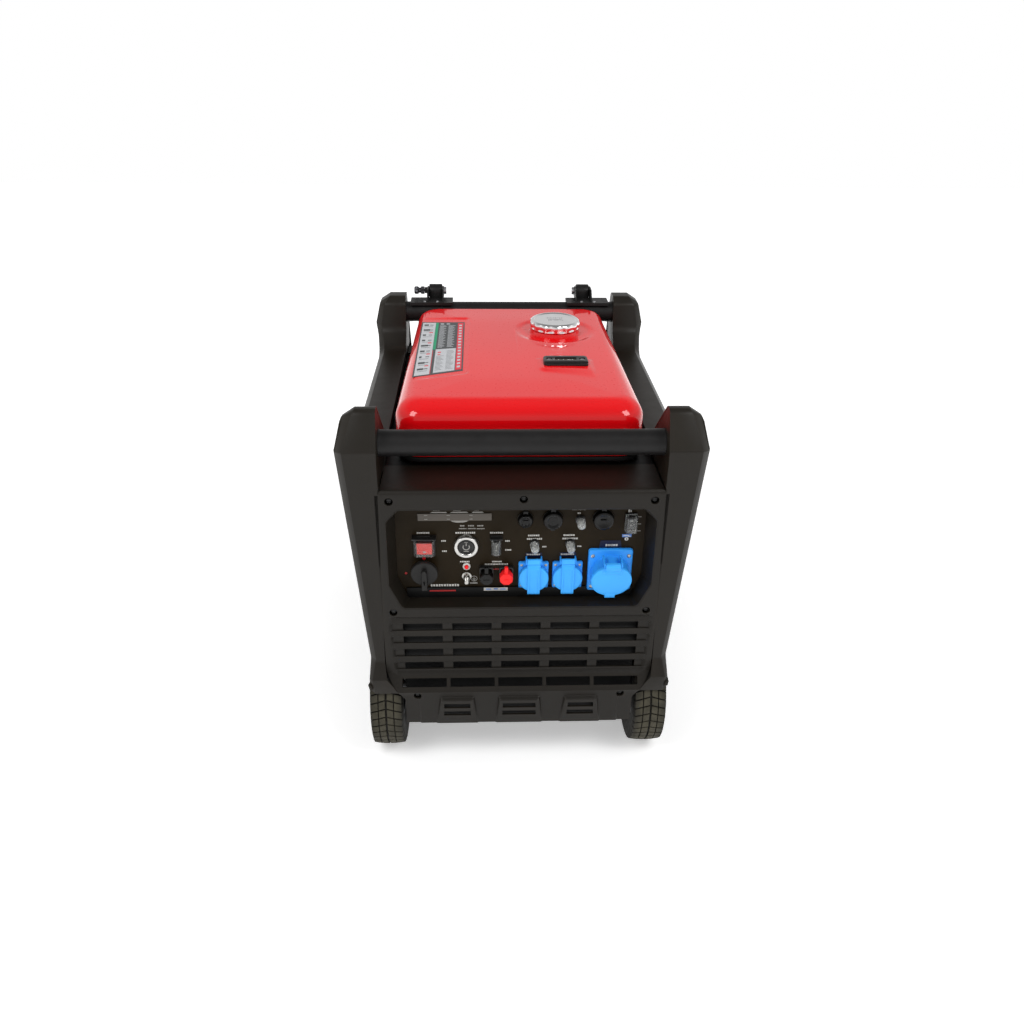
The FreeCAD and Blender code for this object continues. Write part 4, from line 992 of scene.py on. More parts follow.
def cross_head(name, place, radius, material="zinc", slot="zinc", body="root", height=1.8):
    """A pan head with a cross recess on a seat."""
    head = turned(name, [(0, height), (radius * 0.6, height * 0.92), (radius * 0.9, height * 0.5),
                         (radius, -0.4),
                         (0, -0.4)], place, 28)
    slot_a = pressed("cross", oblong(0, 0, radius * 1.25, radius * 0.26, 0.05, 1), height - 0.9, height + 2,
                     place)
    slot_b = pressed("cross", oblong(0, 0, radius * 0.26, radius * 1.25, 0.05, 1), height - 0.9, height + 2,
                     place)
    carve(head, slot_a, slot_b)
    return finished(head, body, slot, look[material], sharp=30)


# ---------------------------------------------------------------- fuel tank

TANK_TOP = 650.0
TANK_FOOT = 561.0
TANK_REACH_REAR = 20.0
TANK_REACH_FRONT = 40.0
TANK_RISE = 34.0
DECAL_FLOOR = TANK_TOP - 2.8
CAP_X, CAP_Y = cap.x, cap.y
BORE = 33.0
TANK_CORNERS = [(-202, tank.y0, 40), (202, tank.y0, 40), (192, tank.y1, 44), (-192, tank.y1, 44)]


def tank_loop(amount, ends=84, sides=112, arc=10):
    """The tank's plan, moved inwards, with its straight edges cut finely enough to carry the pressings."""
    shape = inset([corner[:2] for corner in TANK_CORNERS], amount)
    arcs = rounded([(x, y, max(6.0, corner[2] - amount * 0.75)) for (x, y),
                    corner in zip(shape, TANK_CORNERS)], arc)
    points = []
    for corner in range(4):
        points += arcs[corner * (arc + 1):(corner + 1) * (arc + 1)]
        start, end = Vector(points[-1]), Vector(arcs[((corner + 1) * (arc + 1)) % len(arcs)])
        count = ends if corner % 2 == 0 else sides
        points += [tuple(start.lerp(end, n / count)) for n in range(1, count)]
    return points


def decal_front(x):
    """The decal recess's slanted front edge."""
    return -142 + (x + 191.6) * 0.304


def tank_top(x, y, crown):
    """Height of the tank's top: crown, decal recess, filler dish and gauge pad."""
    in_recess = (1 - ramp(x, -90.4, -84.4)) * ramp(y, decal_front(x) - 4,
                                                   decal_front(x) + 4) * (1 - ramp(y, 206, 213))
    height = crown + in_recess * (min(crown, DECAL_FLOOR) - crown)
    reach = math.hypot(x - CAP_X, y - CAP_Y)
    height -= 2.6 * (1 - ramp(reach, 66, 80))
    run_out = -107 - (x - gauge.x0) * 0.35
    pad = ramp(x, gauge.x0 - 9, gauge.x0 - 2) * (1 - ramp(x, gauge.x1 + 2, gauge.x1 + 9))
    pad *= ramp(y, run_out, gauge.y0 - 3) * (1 - ramp(y, gauge.y1 + 2, gauge.y1 + 9))
    return height + 3.0 * pad


def fuel_tank():
    """The pressed tank: flat foot, steep walls, a round crown and the pressings of its top."""
    loops = []
    for amount, z in ((12, TANK_FOOT - 3), (3, TANK_FOOT - 3), (0.4, TANK_FOOT - 1.4), (0, TANK_FOOT + 1.4)):
        loops.append([(x, y, z) for x, y in tank_loop(amount)])
    for share in (0.33, 0.66):
        z = TANK_FOOT + (TANK_TOP - TANK_RISE - TANK_FOOT) * share
        loops.append([(x, y, z) for x, y in tank_loop(0.0)])
    crown = [1 - math.cos(math.pi / 2 * n / 11) for n in range(12)]
    for share in crown + [1 + n / 40 for n in range(1, 41)]:
        amounts = [reach * share if share <= 1 else reach + (188 - reach) * (share - 1)
                   for reach in (TANK_REACH_REAR, TANK_REACH_FRONT)]
        drop = TANK_RISE * (1 - math.sqrt(1 - (1 - min(share, 1.0)) ** 2))
        loop = []
        for rear_point, front_point in zip(*(tank_loop(amount) for amount in amounts)):
            forward = (tank.y1 - rear_point[1]) / tank.deep
            x, y = Vector(rear_point).lerp(Vector(front_point), forward)
            level = TANK_TOP - drop - 1.8 * (1 - ramp(sum(amounts) / 2, 20, 120))
            loop.append((x, y, tank_top(x, y, level)))
        loops.append(loop)
    body = loft("fuel_tank_shell", loops)
    carve(body, turned("bore", [(0, -60), (BORE, -60), (BORE, 20), (0, 20)],
                       seat(CAP_X, CAP_Y, TANK_TOP, "top"), 64))
    finished(body, "root", "tank_red", look["tank"], "fuel_tank", sharp=50)
    neck = turned("filler_neck_ring", [(BORE + 0.1, -12), (BORE + 0.1, 11), (BORE + 1.5, 12.6),
                                       (BORE + 3, 12.2),
                                       (BORE + 4, 6), (45.5, 5.2), (47.2, 4.2), (47.6, 2), (48.6, -1.4),
                                       (51, -2.7),
                                       (52, -4.5), (40, -12)], seat(CAP_X, CAP_Y, TANK_TOP, "top"), 96)
    finished(neck, "root", "tank_red", look["tank"])
    strip = ring_plate("tank_bed_strip", tank_loop(1.2, 12, 16, 6), tank_loop(14, 12, 16, 6),
                       TANK_FOOT - 11.5,
                       TANK_FOOT - 3.4, seat(0, 0, 0, "top"), 1.5)
    return finished(strip, "root", "seal_rubber", look["rubber"])


def fuel_cap():
    """The chromed cap: a fluted skirt, a flat top with a raised rim, and blocks pressed into it."""
    flutes = 14

    def scallop(angle, radius, along):
        depth = ramp(along, 1.0, 4.0) * (1 - ramp(along, 12.0, 15.0)) * (1 if radius > 44 else 0)
        return -0.8 * depth * (1 + math.cos(angle * flutes))

    base = cap.z0
    levels = [(46.6, 0.0), (47.6, 0.6), (47.9, 1.6), (48.0, 2.8), (48.2, 4.2), (48.6, 7), (48.8, 9.5),
              (48.6, 11.5),
              (47.8, 13), (46.6, 14.4), (44.6, 15.6), (42.4, 16.4), (40.4, 16.5), (39.4, 16.0), (38.8, 15.2),
              (20, 15.3), (0, 15.4), ]
    lid = turned("fuel_cap_skin", [(0, 12), (40, 12), (43.5, 10), (44, 0.2), *levels],
                 seat(CAP_X, CAP_Y, base, "top"),
                 320, scallop)
    finished(lid, "fuel_cap", "chrome", look["chrome"], "fuel_cap_shell", sharp=42)
    bars = [(u, v, 1.6, h) for u, v, h in ((-14, 8, 6), (-10.5, 8, 4), (-7, 8, 6), (-2, 8, 5), (2, 8, 6),
                                           (6, 8, 4),
                                            (10, 8, 6), (14, 8, 5))]
    bars += [(0, -1, 26, 1.2), (-10, -7, 7, 2.4), (2, -7, 9, 2.4), (13, -7, 5, 2.4)]
    marks("fuel_cap_marks", bars, seat(CAP_X, CAP_Y, base + 15.2, "top"), "zinc", "fuel_cap", "chrome", 0,
          0.5)


def fuel_gauge():
    """The fuel gauge: a black housing with a slot window, a needle card and two bright screws."""
    place = seat(gauge.x, gauge.y, gauge.z1, "top")
    body = pressed("fuel_gauge_case", oblong(0, 0, 79, 37, 8), -9.5, -0.2, place, 2.2, 0.8, 3)
    dish = pressed("cut", oblong(0, 1, 38, 13, 3), -3.4, 3, place)
    nose = pressed("cut", [(-44, -13.5), (44, -13.5), (44, -30), (-44, -30)], -3.2, 3, place)
    holes = [turned("cut", [(0, -2.6), (5.4, -2.6), (5.4, 3), (0, 3)],
                    seat(gauge.x + s * 29, gauge.y, gauge.z1, "top"))
             for s in (-1, 1)]
    carve(body, dish, nose, *holes)
    bevel(body, 0.5, 2, 40)
    finished(body, "root", "black_plastic", look["gloss_black"], "gauge_housing")
    window = pressed("fuel_gauge_window", oblong(0, 1, 36.6, 11.6, 2.4), -3.3, -2.6, place, 0.2)
    finished(window, "root", "display_tint", look["window"])
    marks("fuel_gauge_card", [(-12, 1, 1, 5), (-4, 1, 1, 3.4), (4, 1, 1, 3.4), (12, 1, 1, 5),
                              (7, 1.5, 5, 0.8)],
          place, "ink", slot="black_plastic", low=-2.7, high=-2.35)
    for side in (-1, 1):
        cross_head(f"fuel_gauge_screw_{side + 1}", seat(gauge.x + side * 29, gauge.y, gauge.z1 - 2.5,
                                                        "top"), 4.4)


def decal():
    """The instruction decal: coloured fields with rows of plain bars in place of its text and drawings."""
    left, right, rear = -179.0, -94.0, 187.0
    wide = right - left

    def spot(u, v, w):
        x = left + wide * u
        front = -93 + (x + 96) * 0.38
        return (x, rear + (front - rear) * v, DECAL_FLOOR + w)

    def field(u0, u1, v0, v1, low, high):
        corners = ((u0, v0), (u1, v0), (u1, v1), (u0, v1))
        return [spot(u, v, w) for w in (low, high) for u, v in corners]

    def sheet_of(name, fields, material, low, high):
        verts, faces = [], []
        for u0, u1, v0, v1 in fields:
            first = len(verts)
            verts += field(u0, u1, v0, v1, low, high)
            faces += [tuple(first + n for n in face) for face in
                      ((0, 1, 2, 3), (7, 6, 5, 4), (4, 5, 1, 0), (5, 6, 2, 1), (6, 7, 3, 2), (7, 4, 0, 3))]
        piece = outward_only(make(name, verts, faces))
        finished(piece, "root", "tank_red", look[material], sharp=20)

    sheet_of("decal_base", [(0, 1, 0, 1)], "decal_grey", 0.05, 0.3)
    sheet_of("decal_white", [(0.03, 0.33, 0.015, 0.985), (0.40, 0.83, 0.56, 0.975)], "paper", 0.28, 0.45)
    sheet_of("decal_green", [(0.335, 0.395, 0.015, 0.56)], "decal_green", 0.28, 0.45)
    sheet_of("decal_red", [(0.335, 0.345, 0.57, 0.985), (0.845, 0.97, 0.02, 0.97)], "decal_red", 0.28, 0.45)
    light, dark, pink = [], [], []
    for row in range(25):
        v = 0.075 + row * 0.0185
        for column in range(2):
            start = 0.43 + column * 0.2
            length = 0.13 + 0.03 * math.sin(row * 2.3 + column * 1.7)
            light.append((start, start + length, v, v + 0.006))
    light += [(0.44, 0.52, 0.03, 0.05), (0.58, 0.66, 0.03, 0.05)]
    for row in range(9):
        v = 0.05 + row * 0.103
        dark += [(0.07, 0.17 + 0.05 * math.sin(row * 1.9), v, v + 0.03), (0.2, 0.28, v + 0.01, v + 0.022),
                 (0.08, 0.27, v + 0.048, v + 0.053)]
        if row % 2:
            pink.append((0.21, 0.29, v + 0.062, v + 0.078))
    for row in range(16):
        v = 0.60 + row * 0.022
        dark.append((0.64, 0.77 + 0.03 * math.sin(row * 1.3), v, v + 0.005))
        if row > 3:
            dark.append((0.43, 0.56 + 0.03 * math.sin(row * 2.1), v, v + 0.005))
    pink += [(0.45, 0.52, 0.61, 0.63), (0.45, 0.51, 0.655, 0.67)]
    strip = [(0.875, 0.94, v / 100, v / 100 + 0.012 + 0.02 * (v % 3 == 0)) for v in range(6, 94, 6)]
    sheet_of("decal_light_bars", light, "paper", 0.28, 0.42)
    sheet_of("decal_dark_bars", dark, "decal_grey", 0.43, 0.52)
    sheet_of("decal_red_bars", pink, "decal_red", 0.43, 0.52)
    sheet_of("decal_strip_bars", strip, "paper", 0.43, 0.52)


fuel_tank()
fuel_cap()
fuel_gauge()
decal()

# ---------------------------------------------------------------- crossbars, handle and brackets


def crossbar(name, bar, node):
    """A tube between the posts, with a pressed collar at each end."""
    half, radius = bar.wide / 2, bar.tall / 2
    profile = [(0, -half), (radius, -half), (radius, -half + 1.5), (radius - 0.6, -half + 3),
               (radius - 0.6, -half + 12),
               (radius - 1.0, -half + 14)]
    profile += [(r, -along) for r, along in reversed(profile)]
    tube = lathe(name, profile, (bar.x, bar.y, bar.z), "X", 72)
    finished(tube, "root", "tube_paint", look["bar"], node, sharp=50)


crossbar("front_crossbar_tube", front_bar, "front_crossbar")
crossbar("rear_crossbar_tube", rear_bar, "rear_crossbar")


PIVOT_BORE = 5.3
SADDLE_TOP = 654.5


def pull_handle():
    """The folding handle: two square arms with rounded heads, a cross tube and a ribbed grip."""
    frame_box, grip = Place("handle_frame"), Place("handle_grip")
    arm = 28.0
    for side, name in ((-1, "left"), (1, "right")):
        middle = side * (frame_box.x1 - arm / 2)
        outline = rounded([(frame_box.y0, grip.z + 6, 10), (frame_box.y0, frame_box.z1, 13.8),
                           (frame_box.y1, frame_box.z1, 13.8), (frame_box.y1, grip.z + 6, 10)], 8)
        body = slab(f"handle_arm_{name}", outline, "YZ", middle - arm / 2, middle + arm / 2)
        pocket = slab("cut", rounded([(frame_box.y1 - 2.2, 330, 3), (frame_box.y1 + 5, 330, 0),
                                      (frame_box.y1 + 5, 600, 0), (frame_box.y1 - 2.2, 600, 3)]), "YZ",
                      middle - 8, middle + 8)
        bolts = Place("handle_pivot_bolts")
        pivot_bore = lathe("cut", [(0, -20), (PIVOT_BORE, -20), (PIVOT_BORE, 20), (0, 20)],
                           (middle, bolts.y, bolts.z),
                           "X", 64)
        bevel(body, 2.4, 3, 40)
        carve(body, pocket, pivot_bore)
        finished(body, "pull_handle", "tube_paint", look["bar"], "handle_frame")
        socket = lathe(f"handle_socket_{name}", [(0, -4), (14.5, -4), (14.5, 9), (12.6, 12), (0, 12)],
                       (middle - side * (arm / 2), grip.y, grip.z), "X", 40)
        if side > 0:
            socket.data.transform(Matrix.Translation(Vector((2 * (middle - arm / 2), 0, 0)) * MM)
                                  @ Matrix.Scale(-1, 4, (1, 0, 0)))
            socket.data.flip_normals()
        finished(socket, "pull_handle", "tube_paint", look["bar"])
        foot = lathe(f"handle_arm_foot_{name}", [(0, -arm / 2 + 0.2), (12.5, -arm / 2 + 0.2),
                                                 (13.8, -arm / 2 + 1.6),
                                                 (13.8, arm / 2 - 1.6), (12.5, arm / 2 - 0.2),
                                                 (0, arm / 2 - 0.2)],
                     (middle, grip.y, grip.z), "X", 40)
        finished(foot, "pull_handle", "tube_paint", look["bar"])
    tube = lathe("handle_cross_tube", [(0, -150), (11, -150), (11, 150), (0, 150)], (0, grip.y, grip.z),
                 "X", 40)
    finished(tube, "pull_handle", "tube_paint", look["bar"])
    profile, half, ribs = [(11.2, -grip.wide / 2)], grip.wide / 2, 24
    profile += [(14.2, -half), (15.2, -half + 1.5), (15.2, -half + 8), (14.4, -half + 10)]
    for rib in range(ribs):
        start = -half + 12 + rib * (grip.wide - 24) / ribs
        step = (grip.wide - 24) / ribs
        profile += [(14.4, start + step * 0.1), (15.2, start + step * 0.3), (15.2, start + step * 0.7),
                    (14.4, start + step * 0.9)]
    profile += [(14.4, half - 10), (15.2, half - 8), (15.2, half - 1.5), (14.2, half), (11.2, half)]
    sleeve = lathe("handle_grip_sleeve", profile, (0, grip.y, grip.z), "X", 48)
    finished(sleeve, "pull_handle", "seal_rubber", look["grip"], "handle_grip", sharp=25)


pull_handle()


def lock_plunger():
    """The spring plunger that locks the handle: a waisted, knurled knob on a pin that fits its bore."""
    pin = Place("lock_plunger")
    start = -pin.wide / 2
    shape = [(0, 0), (6.5, 0), (7.7, 1.6), (7.7, 8), (5.5, 10), (5.5, 13), (7.7, 14.6), (7.7, 21.3),
             (2.9, 21.4),
             (2.9, 31), (0, 31.2)]
    profile = [(radius, start + along) for radius, along in shape]

    def knurl(angle, radius, along):
        return 0.25 * math.cos(angle * 24) if radius > 7 else 0.0

    knob = lathe("lock_plunger_knob", profile, (pin.x, pin.y, pin.z), "X", 96, knurl)
    finished(knob, "lock_pin", "chrome", look["dark_metal"], "lock_plunger", sharp=35)


lock_plunger()
saddles = Place("handle_brackets")
for side in (-1, 1):
    for number, x in enumerate((153, 180)):
        cross_head(f"saddle_bolt_{side + 1}{number}", seat(side * x, saddles.y0 + 9, SADDLE_TOP, "top"), 3.4,
                   "zinc")

# ---------------------------------------------------------------- wheels

LUGS = 42
TREAD = [-26.5, -24, -20.6, -17.2, -14.2, -13.8, -12.6, -12.2, -8.6, -5, -1.9, -1.5, 0,
         1.5, 1.9, 5, 8.6, 12.2, 12.6, 13.8, 14.2, 17.2, 20.6, 24, 26.5]
LUG_PHASES = [0.0, 0.025, 0.15, 0.175, 0.38, 0.6, 0.8]


def wheel(side, word_name):
    """A solid tyre with a block tread in a chevron, on a ribbed moulded hub."""
    place = Place(f"{word_name}_tyre")
    middle, reach, half = place.x, place.tall / 2, place.wide / 2
    hub = Place(f"{word_name}_hub")
    bead = 57.9
    section = [(offset, reach - 2.4 * (offset / 26.5) ** 2, True) for offset in TREAD]
    shoulder = [(27.6, reach - 6, True), (28.2, reach - 10, True), (28.45, reach - 15, False),
                (half, reach - 24, False),
                (28.0, reach - 33, False), (25.5, bead + 6, False), (22, bead + 2.5, False),
                (21, bead, False)]
    section = [(-a, r, lug) for a, r, lug in reversed(shoulder)] + section + shoulder
    rings = LUGS * len(LUG_PHASES)
    verts, faces = [], []
    for ring in range(rings):
        lug, phase = divmod(ring, len(LUG_PHASES))
        share = LUG_PHASES[phase]
        for offset, radius, tread in section:
            skew = 0.5 * min(abs(offset), 26.5) / 26.5
            angle = 2 * math.pi * (lug + share + skew) / LUGS
            depth = 0.0
            if tread:
                wide_offset = abs(offset)
                in_centre, in_side = wide_offset < 1.7, 12.5 < wide_offset < 13.9
                if in_centre or in_side:
                    depth = 3.4
                if 0.02 < share < 0.16 and not in_centre:
                    depth = 3.4 if wide_offset < 27 else 2.2
            verts.append((middle + offset, place.y + (radius - depth) * math.cos(angle),
                          place.z + (radius - depth) * math.sin(angle)))
    wide = len(section)
    for ring in range(rings):
        after = (ring + 1) % rings
        for n in range(wide):
            m = (n + 1) % wide
            faces.append((ring * wide + n, ring * wide + m, after * wide + m, after * wide + n))
    skin = outward(make(f"{word_name}_tread", verts, faces))
    finished(skin, f"{word_name}_wheel", "tyre_rubber", look["tyre"], f"{word_name}_tyre", sharp=36)
    wheel_hub(word_name, place, hub, bead)


def wheel_hub(word_name, place, hub, bead):
    """The hub: a barrel with two lips, a web with six ribs on each face, and a boss."""
    low, high = hub.x0 - place.x, hub.x1 - place.x
    web_low, web_high = (low + high) / 2 - 3, (low + high) / 2 + 3
    profile = [(14.1, low), (21, low), (21.5, low + 1.2), (22.5, web_low), (48, web_low), (50.5, low + 3),
               (51, low),
               (56, low), (bead, low + 2), (bead, high - 2), (56, high), (51, high), (50.5, high - 3),
               (48, web_high),
               (22.5, web_high), (21.5, high - 1.2), (21, high), (14.1, high)]
    parts = [lathe("hub_body", profile, (place.x, place.y, place.z), "X", 96)]
    for n in range(6):
        angle = 2 * math.pi * n / 6
        rib = slab("rib", [(21, -3), (50, -2.2), (50, 2.2), (21, 3)], "YZ", low + 4, high - 4)
        rib.data.transform(Matrix.Translation(Vector((place.x, place.y, place.z)) * MM)
                           @ Matrix.Rotation(angle, 4, "X"))
        parts.append(bevel(rib, 0.8, 2, 40))
    whole = joined(f"{word_name}_hub_moulding", parts)
    finished(whole, f"{word_name}_wheel", "rim_plastic", look["hub"], f"{word_name}_hub", sharp=34)


for side, name in ((-1, "left"), (1, "right")):
    wheel(side, name)

# ---------------------------------------------------------------- control panel: plate and prints

def drawn(name, outline, low, high, place, edge=0.0, segments=2):
    """An outline seen from a seat's side, as (up, out) points, drawn across the seat from low to high."""
    loops = [[tuple(place @ Vector((across, up, out))) for up, out in outline] for across in (low, high)]
    piece = loft(name, loops)
    return bevel(piece, edge, segments, 35) if edge else piece


def shell_cover(name, outline, low, high, wall, place, edge):
    """A thin see-through cover, open towards the panel."""
    cover = pressed(name, outline, low, high, place, edge, 1.0, 4)
    hollow = pressed("hollow", inset(outline, wall), low - 1, high - wall, place, max(0.4, edge - wall),
                     1.0, 3)
    return carve(cover, hollow)


WORDS_WHITE = [
    (-157.4, 454.5, 20, 3.2), (-88.8, 454.2, 33, 3.4), (-38.8, 453.8, 21.5, 3.2), (-124.8, 439.2, 7.5, 2.8),
    (-123.4, 419.8, 8.5, 2.8), (-21.2, 438.3, 7.5, 2.8), (-20.3, 421.2, 9, 2.8), (-91.5, 399.3, 14.5, 2.8),
    (-38.3, 398.9, 16, 2.4), (-39.7, 393.8, 37, 2.7), (21.8, 448.2, 19.5, 3.3), (22.2, 441.8, 24, 3.3),
    (79.3, 448.4, 19.5, 3.3), (79.8, 442.0, 23.5, 3.3), (39.4, 426.9, 7.5, 2.5), (96.7, 427.1, 7.5, 2.5),
    (93.2, 496.0, 23, 2.4), (93.2, 489.1, 5.5, 2.8), (-76.3, 357.2, 13, 2.2),
]
WORDS_DIM = [
    (-135.2, 495.6, 9, 1.8), (-101.7, 495.4, 12, 1.8), (-70.8, 495.6, 7, 1.8), (-93.6, 467.3, 8, 2.6),
    (-80.3, 467.2, 9, 2.6), (-65.7, 467.1, 8.5, 2.6), (-93.0, 462.0, 13, 1.9), (-79.4, 461.9, 11.5, 1.9),
    (-64.7, 461.7, 12.5, 1.9), (190.6, 481.6, 5.5, 1.7), (190.8, 468.4, 5.5, 1.7), (190.8, 455.5, 5.5, 1.7),
]


def panel_prints():
    """What is printed on the panel, with rows of plain bars standing in for the words."""
    face = on_panel(0, 0)
    for name, rows, tone in (("white", WORDS_WHITE, "ink"), ("grey", WORDS_DIM, "ink_dim")):
        bars = [bar for number, row in enumerate(rows) for bar in word(*row, seed=number)]
        marks(f"panel_words_{name}", bars, face, tone)
    big = [bar for bar in word(-125.5, 353.2, 45, 4.6)]
    marks("panel_fuel_word", big, face, "ink")
    marks("panel_fuel_line", [(-128.4, 344.7, 43.5, 2.6)], on_panel(0, 0, 3.5), "ink_red")
    marks("panel_red_words", word(-39.1, 384.2, 15, 2.6), face, "ink_red")
    frames = [[(-145.2, 490.9), (-117.6, 490.9), (-119.4, 493), (-141.5, 493)],
              [(-113.7, 490.9), (-84, 490.9), (-87, 493), (-110, 493)],
              [(-78.8, 490.9), (-59.6, 490.9), (-62, 493), (-76.5, 493)],
              [(-83.8, 476.9), (-112.7, 476.9), (-109.4, 474.8), (-104, 473.4), (-93, 473.4), (-87.4, 474.8)]]
    for number, outline in enumerate(frames):
        tab = pressed(f"display_frame_{number}", outline, 0, 0.35, face)
        finished(tab, "root", "panel_plate", look["ink_dim"], sharp=20)
    ring = ring_plate("earth_ring", circle(-76.2, 366, 5.4, 32), circle(-76.2, 366, 4.6, 32), 0, 0.3, face, 0)
    finished(ring, "root", "panel_plate", look["ink_dim"])
    marks("earth_bars", [(-76.2, 367.6, 0.8, 4), (-76.2, 365.4, 6, 0.8), (-76.2, 363.8, 4, 0.8),
                         (-76.2, 362.3, 2, 0.8)], face, "ink_dim")
    low_label = on_panel(-40.2, 346.9, 3.5)
    plate_piece = pressed("wiring_label", oblong(0, 0, 40, 6, 0.6), 0, 0.4, low_label, 0.1)
    finished(plate_piece, "root", "panel_plate", look["ink"])
    marks("wiring_label_bars", [(-12, 0.2, 9, 2.2), (0, 0.6, 7, 2.6), (12, 0.2, 9, 2.2)], low_label,
          "print_blue",
          low=0.4, high=0.55)


def display():
    """The tinted meter window with its digit marks."""
    window = Place("display_window")
    place = on_panel(window.x, window.z)
    pane = pressed("display_pane", oblong(0, 0, window.wide, window.tall, 0.8), 0, 1.9, place, 0.35)
    finished(pane, "root", "display_tint", look["window"], "display_window")
    marks("display_digits", [(u, v, 5.2, 0.7) for u in (-46, -10, 26) for v in (-3.4, 3.4)], place, "ink_dim",
          slot="display_tint", low=1.9, high=2.0)


def panel_lamp(name, x, z, radius, material):
    """A small round indicator mark."""
    dot = turned(name, [(0, 0.9), (radius * 0.7, 0.75), (radius, 0.3), (radius, 0), (0, 0)], on_panel(x, z),
                 28)
    return finished(dot, "root", "panel_plate", look[material])


# ---------------------------------------------------------------- control panel: switches

MAIN, IDLE, MODE = (Place(f"{name}_rocker") for name in ("main", "idle", "mode"))


def rocker_frame(name, spot, half_x, half_z):
    """A rocker switch's frame with its well."""
    place = on_panel(spot.x, spot.z)
    outer, inner = oblong(0, 0, 2 * half_x, 2 * half_z, 2.2), oblong(0, 0, 2 * half_x - 9, 2 * half_z - 9,
            1.0)
    rim = ring_plate(f"{name}_frame", outer, inner, -0.1, 5, place, 0.9)
    finished(rim, "root", "black_plastic", look["gloss_black"], "switch_bezels")
    # The well's floor and wall are black as painted shade, for the shade deep inside the well.
    floor = pressed(f"{name}_well", oblong(0, 0, 2 * half_x - 6, 2 * half_z - 6, 1), -20, -12, place, 0.6)
    wall = ring_plate(f"{name}_well_wall", oblong(0, 0, 2 * half_x - 6, 2 * half_z - 6, 1),
                      oblong(0, 0, 2 * half_x - 9, 2 * half_z - 9, 1), -12, 0, place, 0)
    finished(floor, "root", "black_plastic", look["shade_fill"])
    finished(wall, "root", "black_plastic", look["shade_fill"])


def rocker_hood(name, x, z, half):
    """The rain hood over a switch: a shelf with rounded ends, a little thinner at its front."""
    outline = [(-1.7, 0), (-1.7, 14), (-0.6, 15), (0.6, 15), (1.9, 13), (2.0, 0)]
    shelf = drawn(f"{name}_hood", outline, -half, half, on_panel(x, z), 0.7, 2)
    return finished(shelf, "root", "black_plastic", look["gloss_black"])


def rocker(name, spot, half_x, half_z, body, material, slot):
    """A rocker with a hollowed face, tipped so that its lower half is pressed in."""
    place = seat(spot.x, PANEL - 2, spot.z, "front", 9)
    face = [(half_z * (1 - n / 6), 4.5 + 2 * (1 - n / 6) ** 2) for n in range(13)]
    outline = face + [(-half_z * 0.6, -3), (half_z * 0.6, -3)]
    piece = drawn(f"{name}_rocker_face", outline, -half_x, half_x, place, 0.6)
    finished(piece, body, slot, look[material], f"{name}_rocker", sharp=30)
    return place


def switches():
    """The main, idle and mode rockers with their frames, hoods and clear boots."""
    rocker_frame("main", MAIN, 17.5, 17.5)
    rocker_frame("idle", IDLE, 8, 17)
    rocker_frame("mode", MODE, 9.5, 14.5)
    rocker_hood("main", MAIN.x, MAIN.z + 19, 19.5)
    rocker_hood("idle", IDLE.x, IDLE.z + 18.5, 10)
    place = rocker("main", MAIN, 12.5, 11.5, "main_switch", "rocker_red", "switch_red")
    marks("main_rocker_marks", [(0, -6, 5, 0.9), (0, -7.9, 5, 0.9)], place, "ink", "main_switch",
          "switch_red", 5.4, 6.1)
    place = rocker("idle", IDLE, 3, 10.5, "idle_switch", "idle_grey", "black_plastic")
    marks("idle_rocker_marks", [(0, 3, 0.9, 3.6), (0, -5.4, 1.9, 1.9)], place, "ink", "idle_switch",
          "black_plastic",
          4.7, 5.4)
    place = rocker("mode", MODE, 4.5, 8.5, "mode_switch", "gloss_black", "black_plastic")
    marks("mode_rocker_marks", [(0, 4.6, 4.4, 1.4), (0, -4.6, 1.2, 2.6)], place, "ink", "mode_switch",
          "black_plastic",
          5.0, 5.7)
    boots = (("main", MAIN, 30, 29, 0.6, 14.2), ("idle", IDLE, 13, 28.5, 0.6, 12.6),
             ("mode", MODE, 19, 31, 1.5, 17))
    for name, spot, wide, tall, drop, proud in boots:
        boot = shell_cover(f"{name}_boot", oblong(0, -drop, wide, tall, 2.6, 6), 4.9, proud, 0.9,
                           on_panel(spot.x, spot.z), 1.8)
        finished(boot, "root", "display_tint", look["clear"])
        lip = ring_plate(f"{name}_boot_lip", oblong(0, -drop, wide + 1.6, tall + 1.6, 3.2),
                         oblong(0, -drop, wide - 2, tall - 2, 2.4), 4.95, 6.1, on_panel(spot.x, spot.z), 0.4)
        finished(lip, "root", "display_tint", look["clear"])
    marks("mode_label", [(0, 0, 15, 5)], on_panel(172.8, 446.6), "print_blue", low=0, high=0.4)
    marks("mode_label_light", [(-1, 0.4, 9, 1.4), (4, -1.2, 4, 1.2)], on_panel(172.8, 446.6), "ink",
          low=0.4, high=0.6)
    ring = pressed("mode_spot", circle(172.7, 440.4, 3.2, 24), 0, 0.4, on_panel(0, 0), 0.1)
    finished(ring, "root", "panel_plate", look["ink"])
    marks("mode_spot_bar", [(172.7, 440.4, 1.2, 3.4)], on_panel(0, 0), "navy", low=0.4, high=0.6)
    marks("mode_top_mark", [(173.2, 492.6, 2.6, 4.6), (176.4, 492.2, 2.2, 3.2)], on_panel(0, 0), "ink")


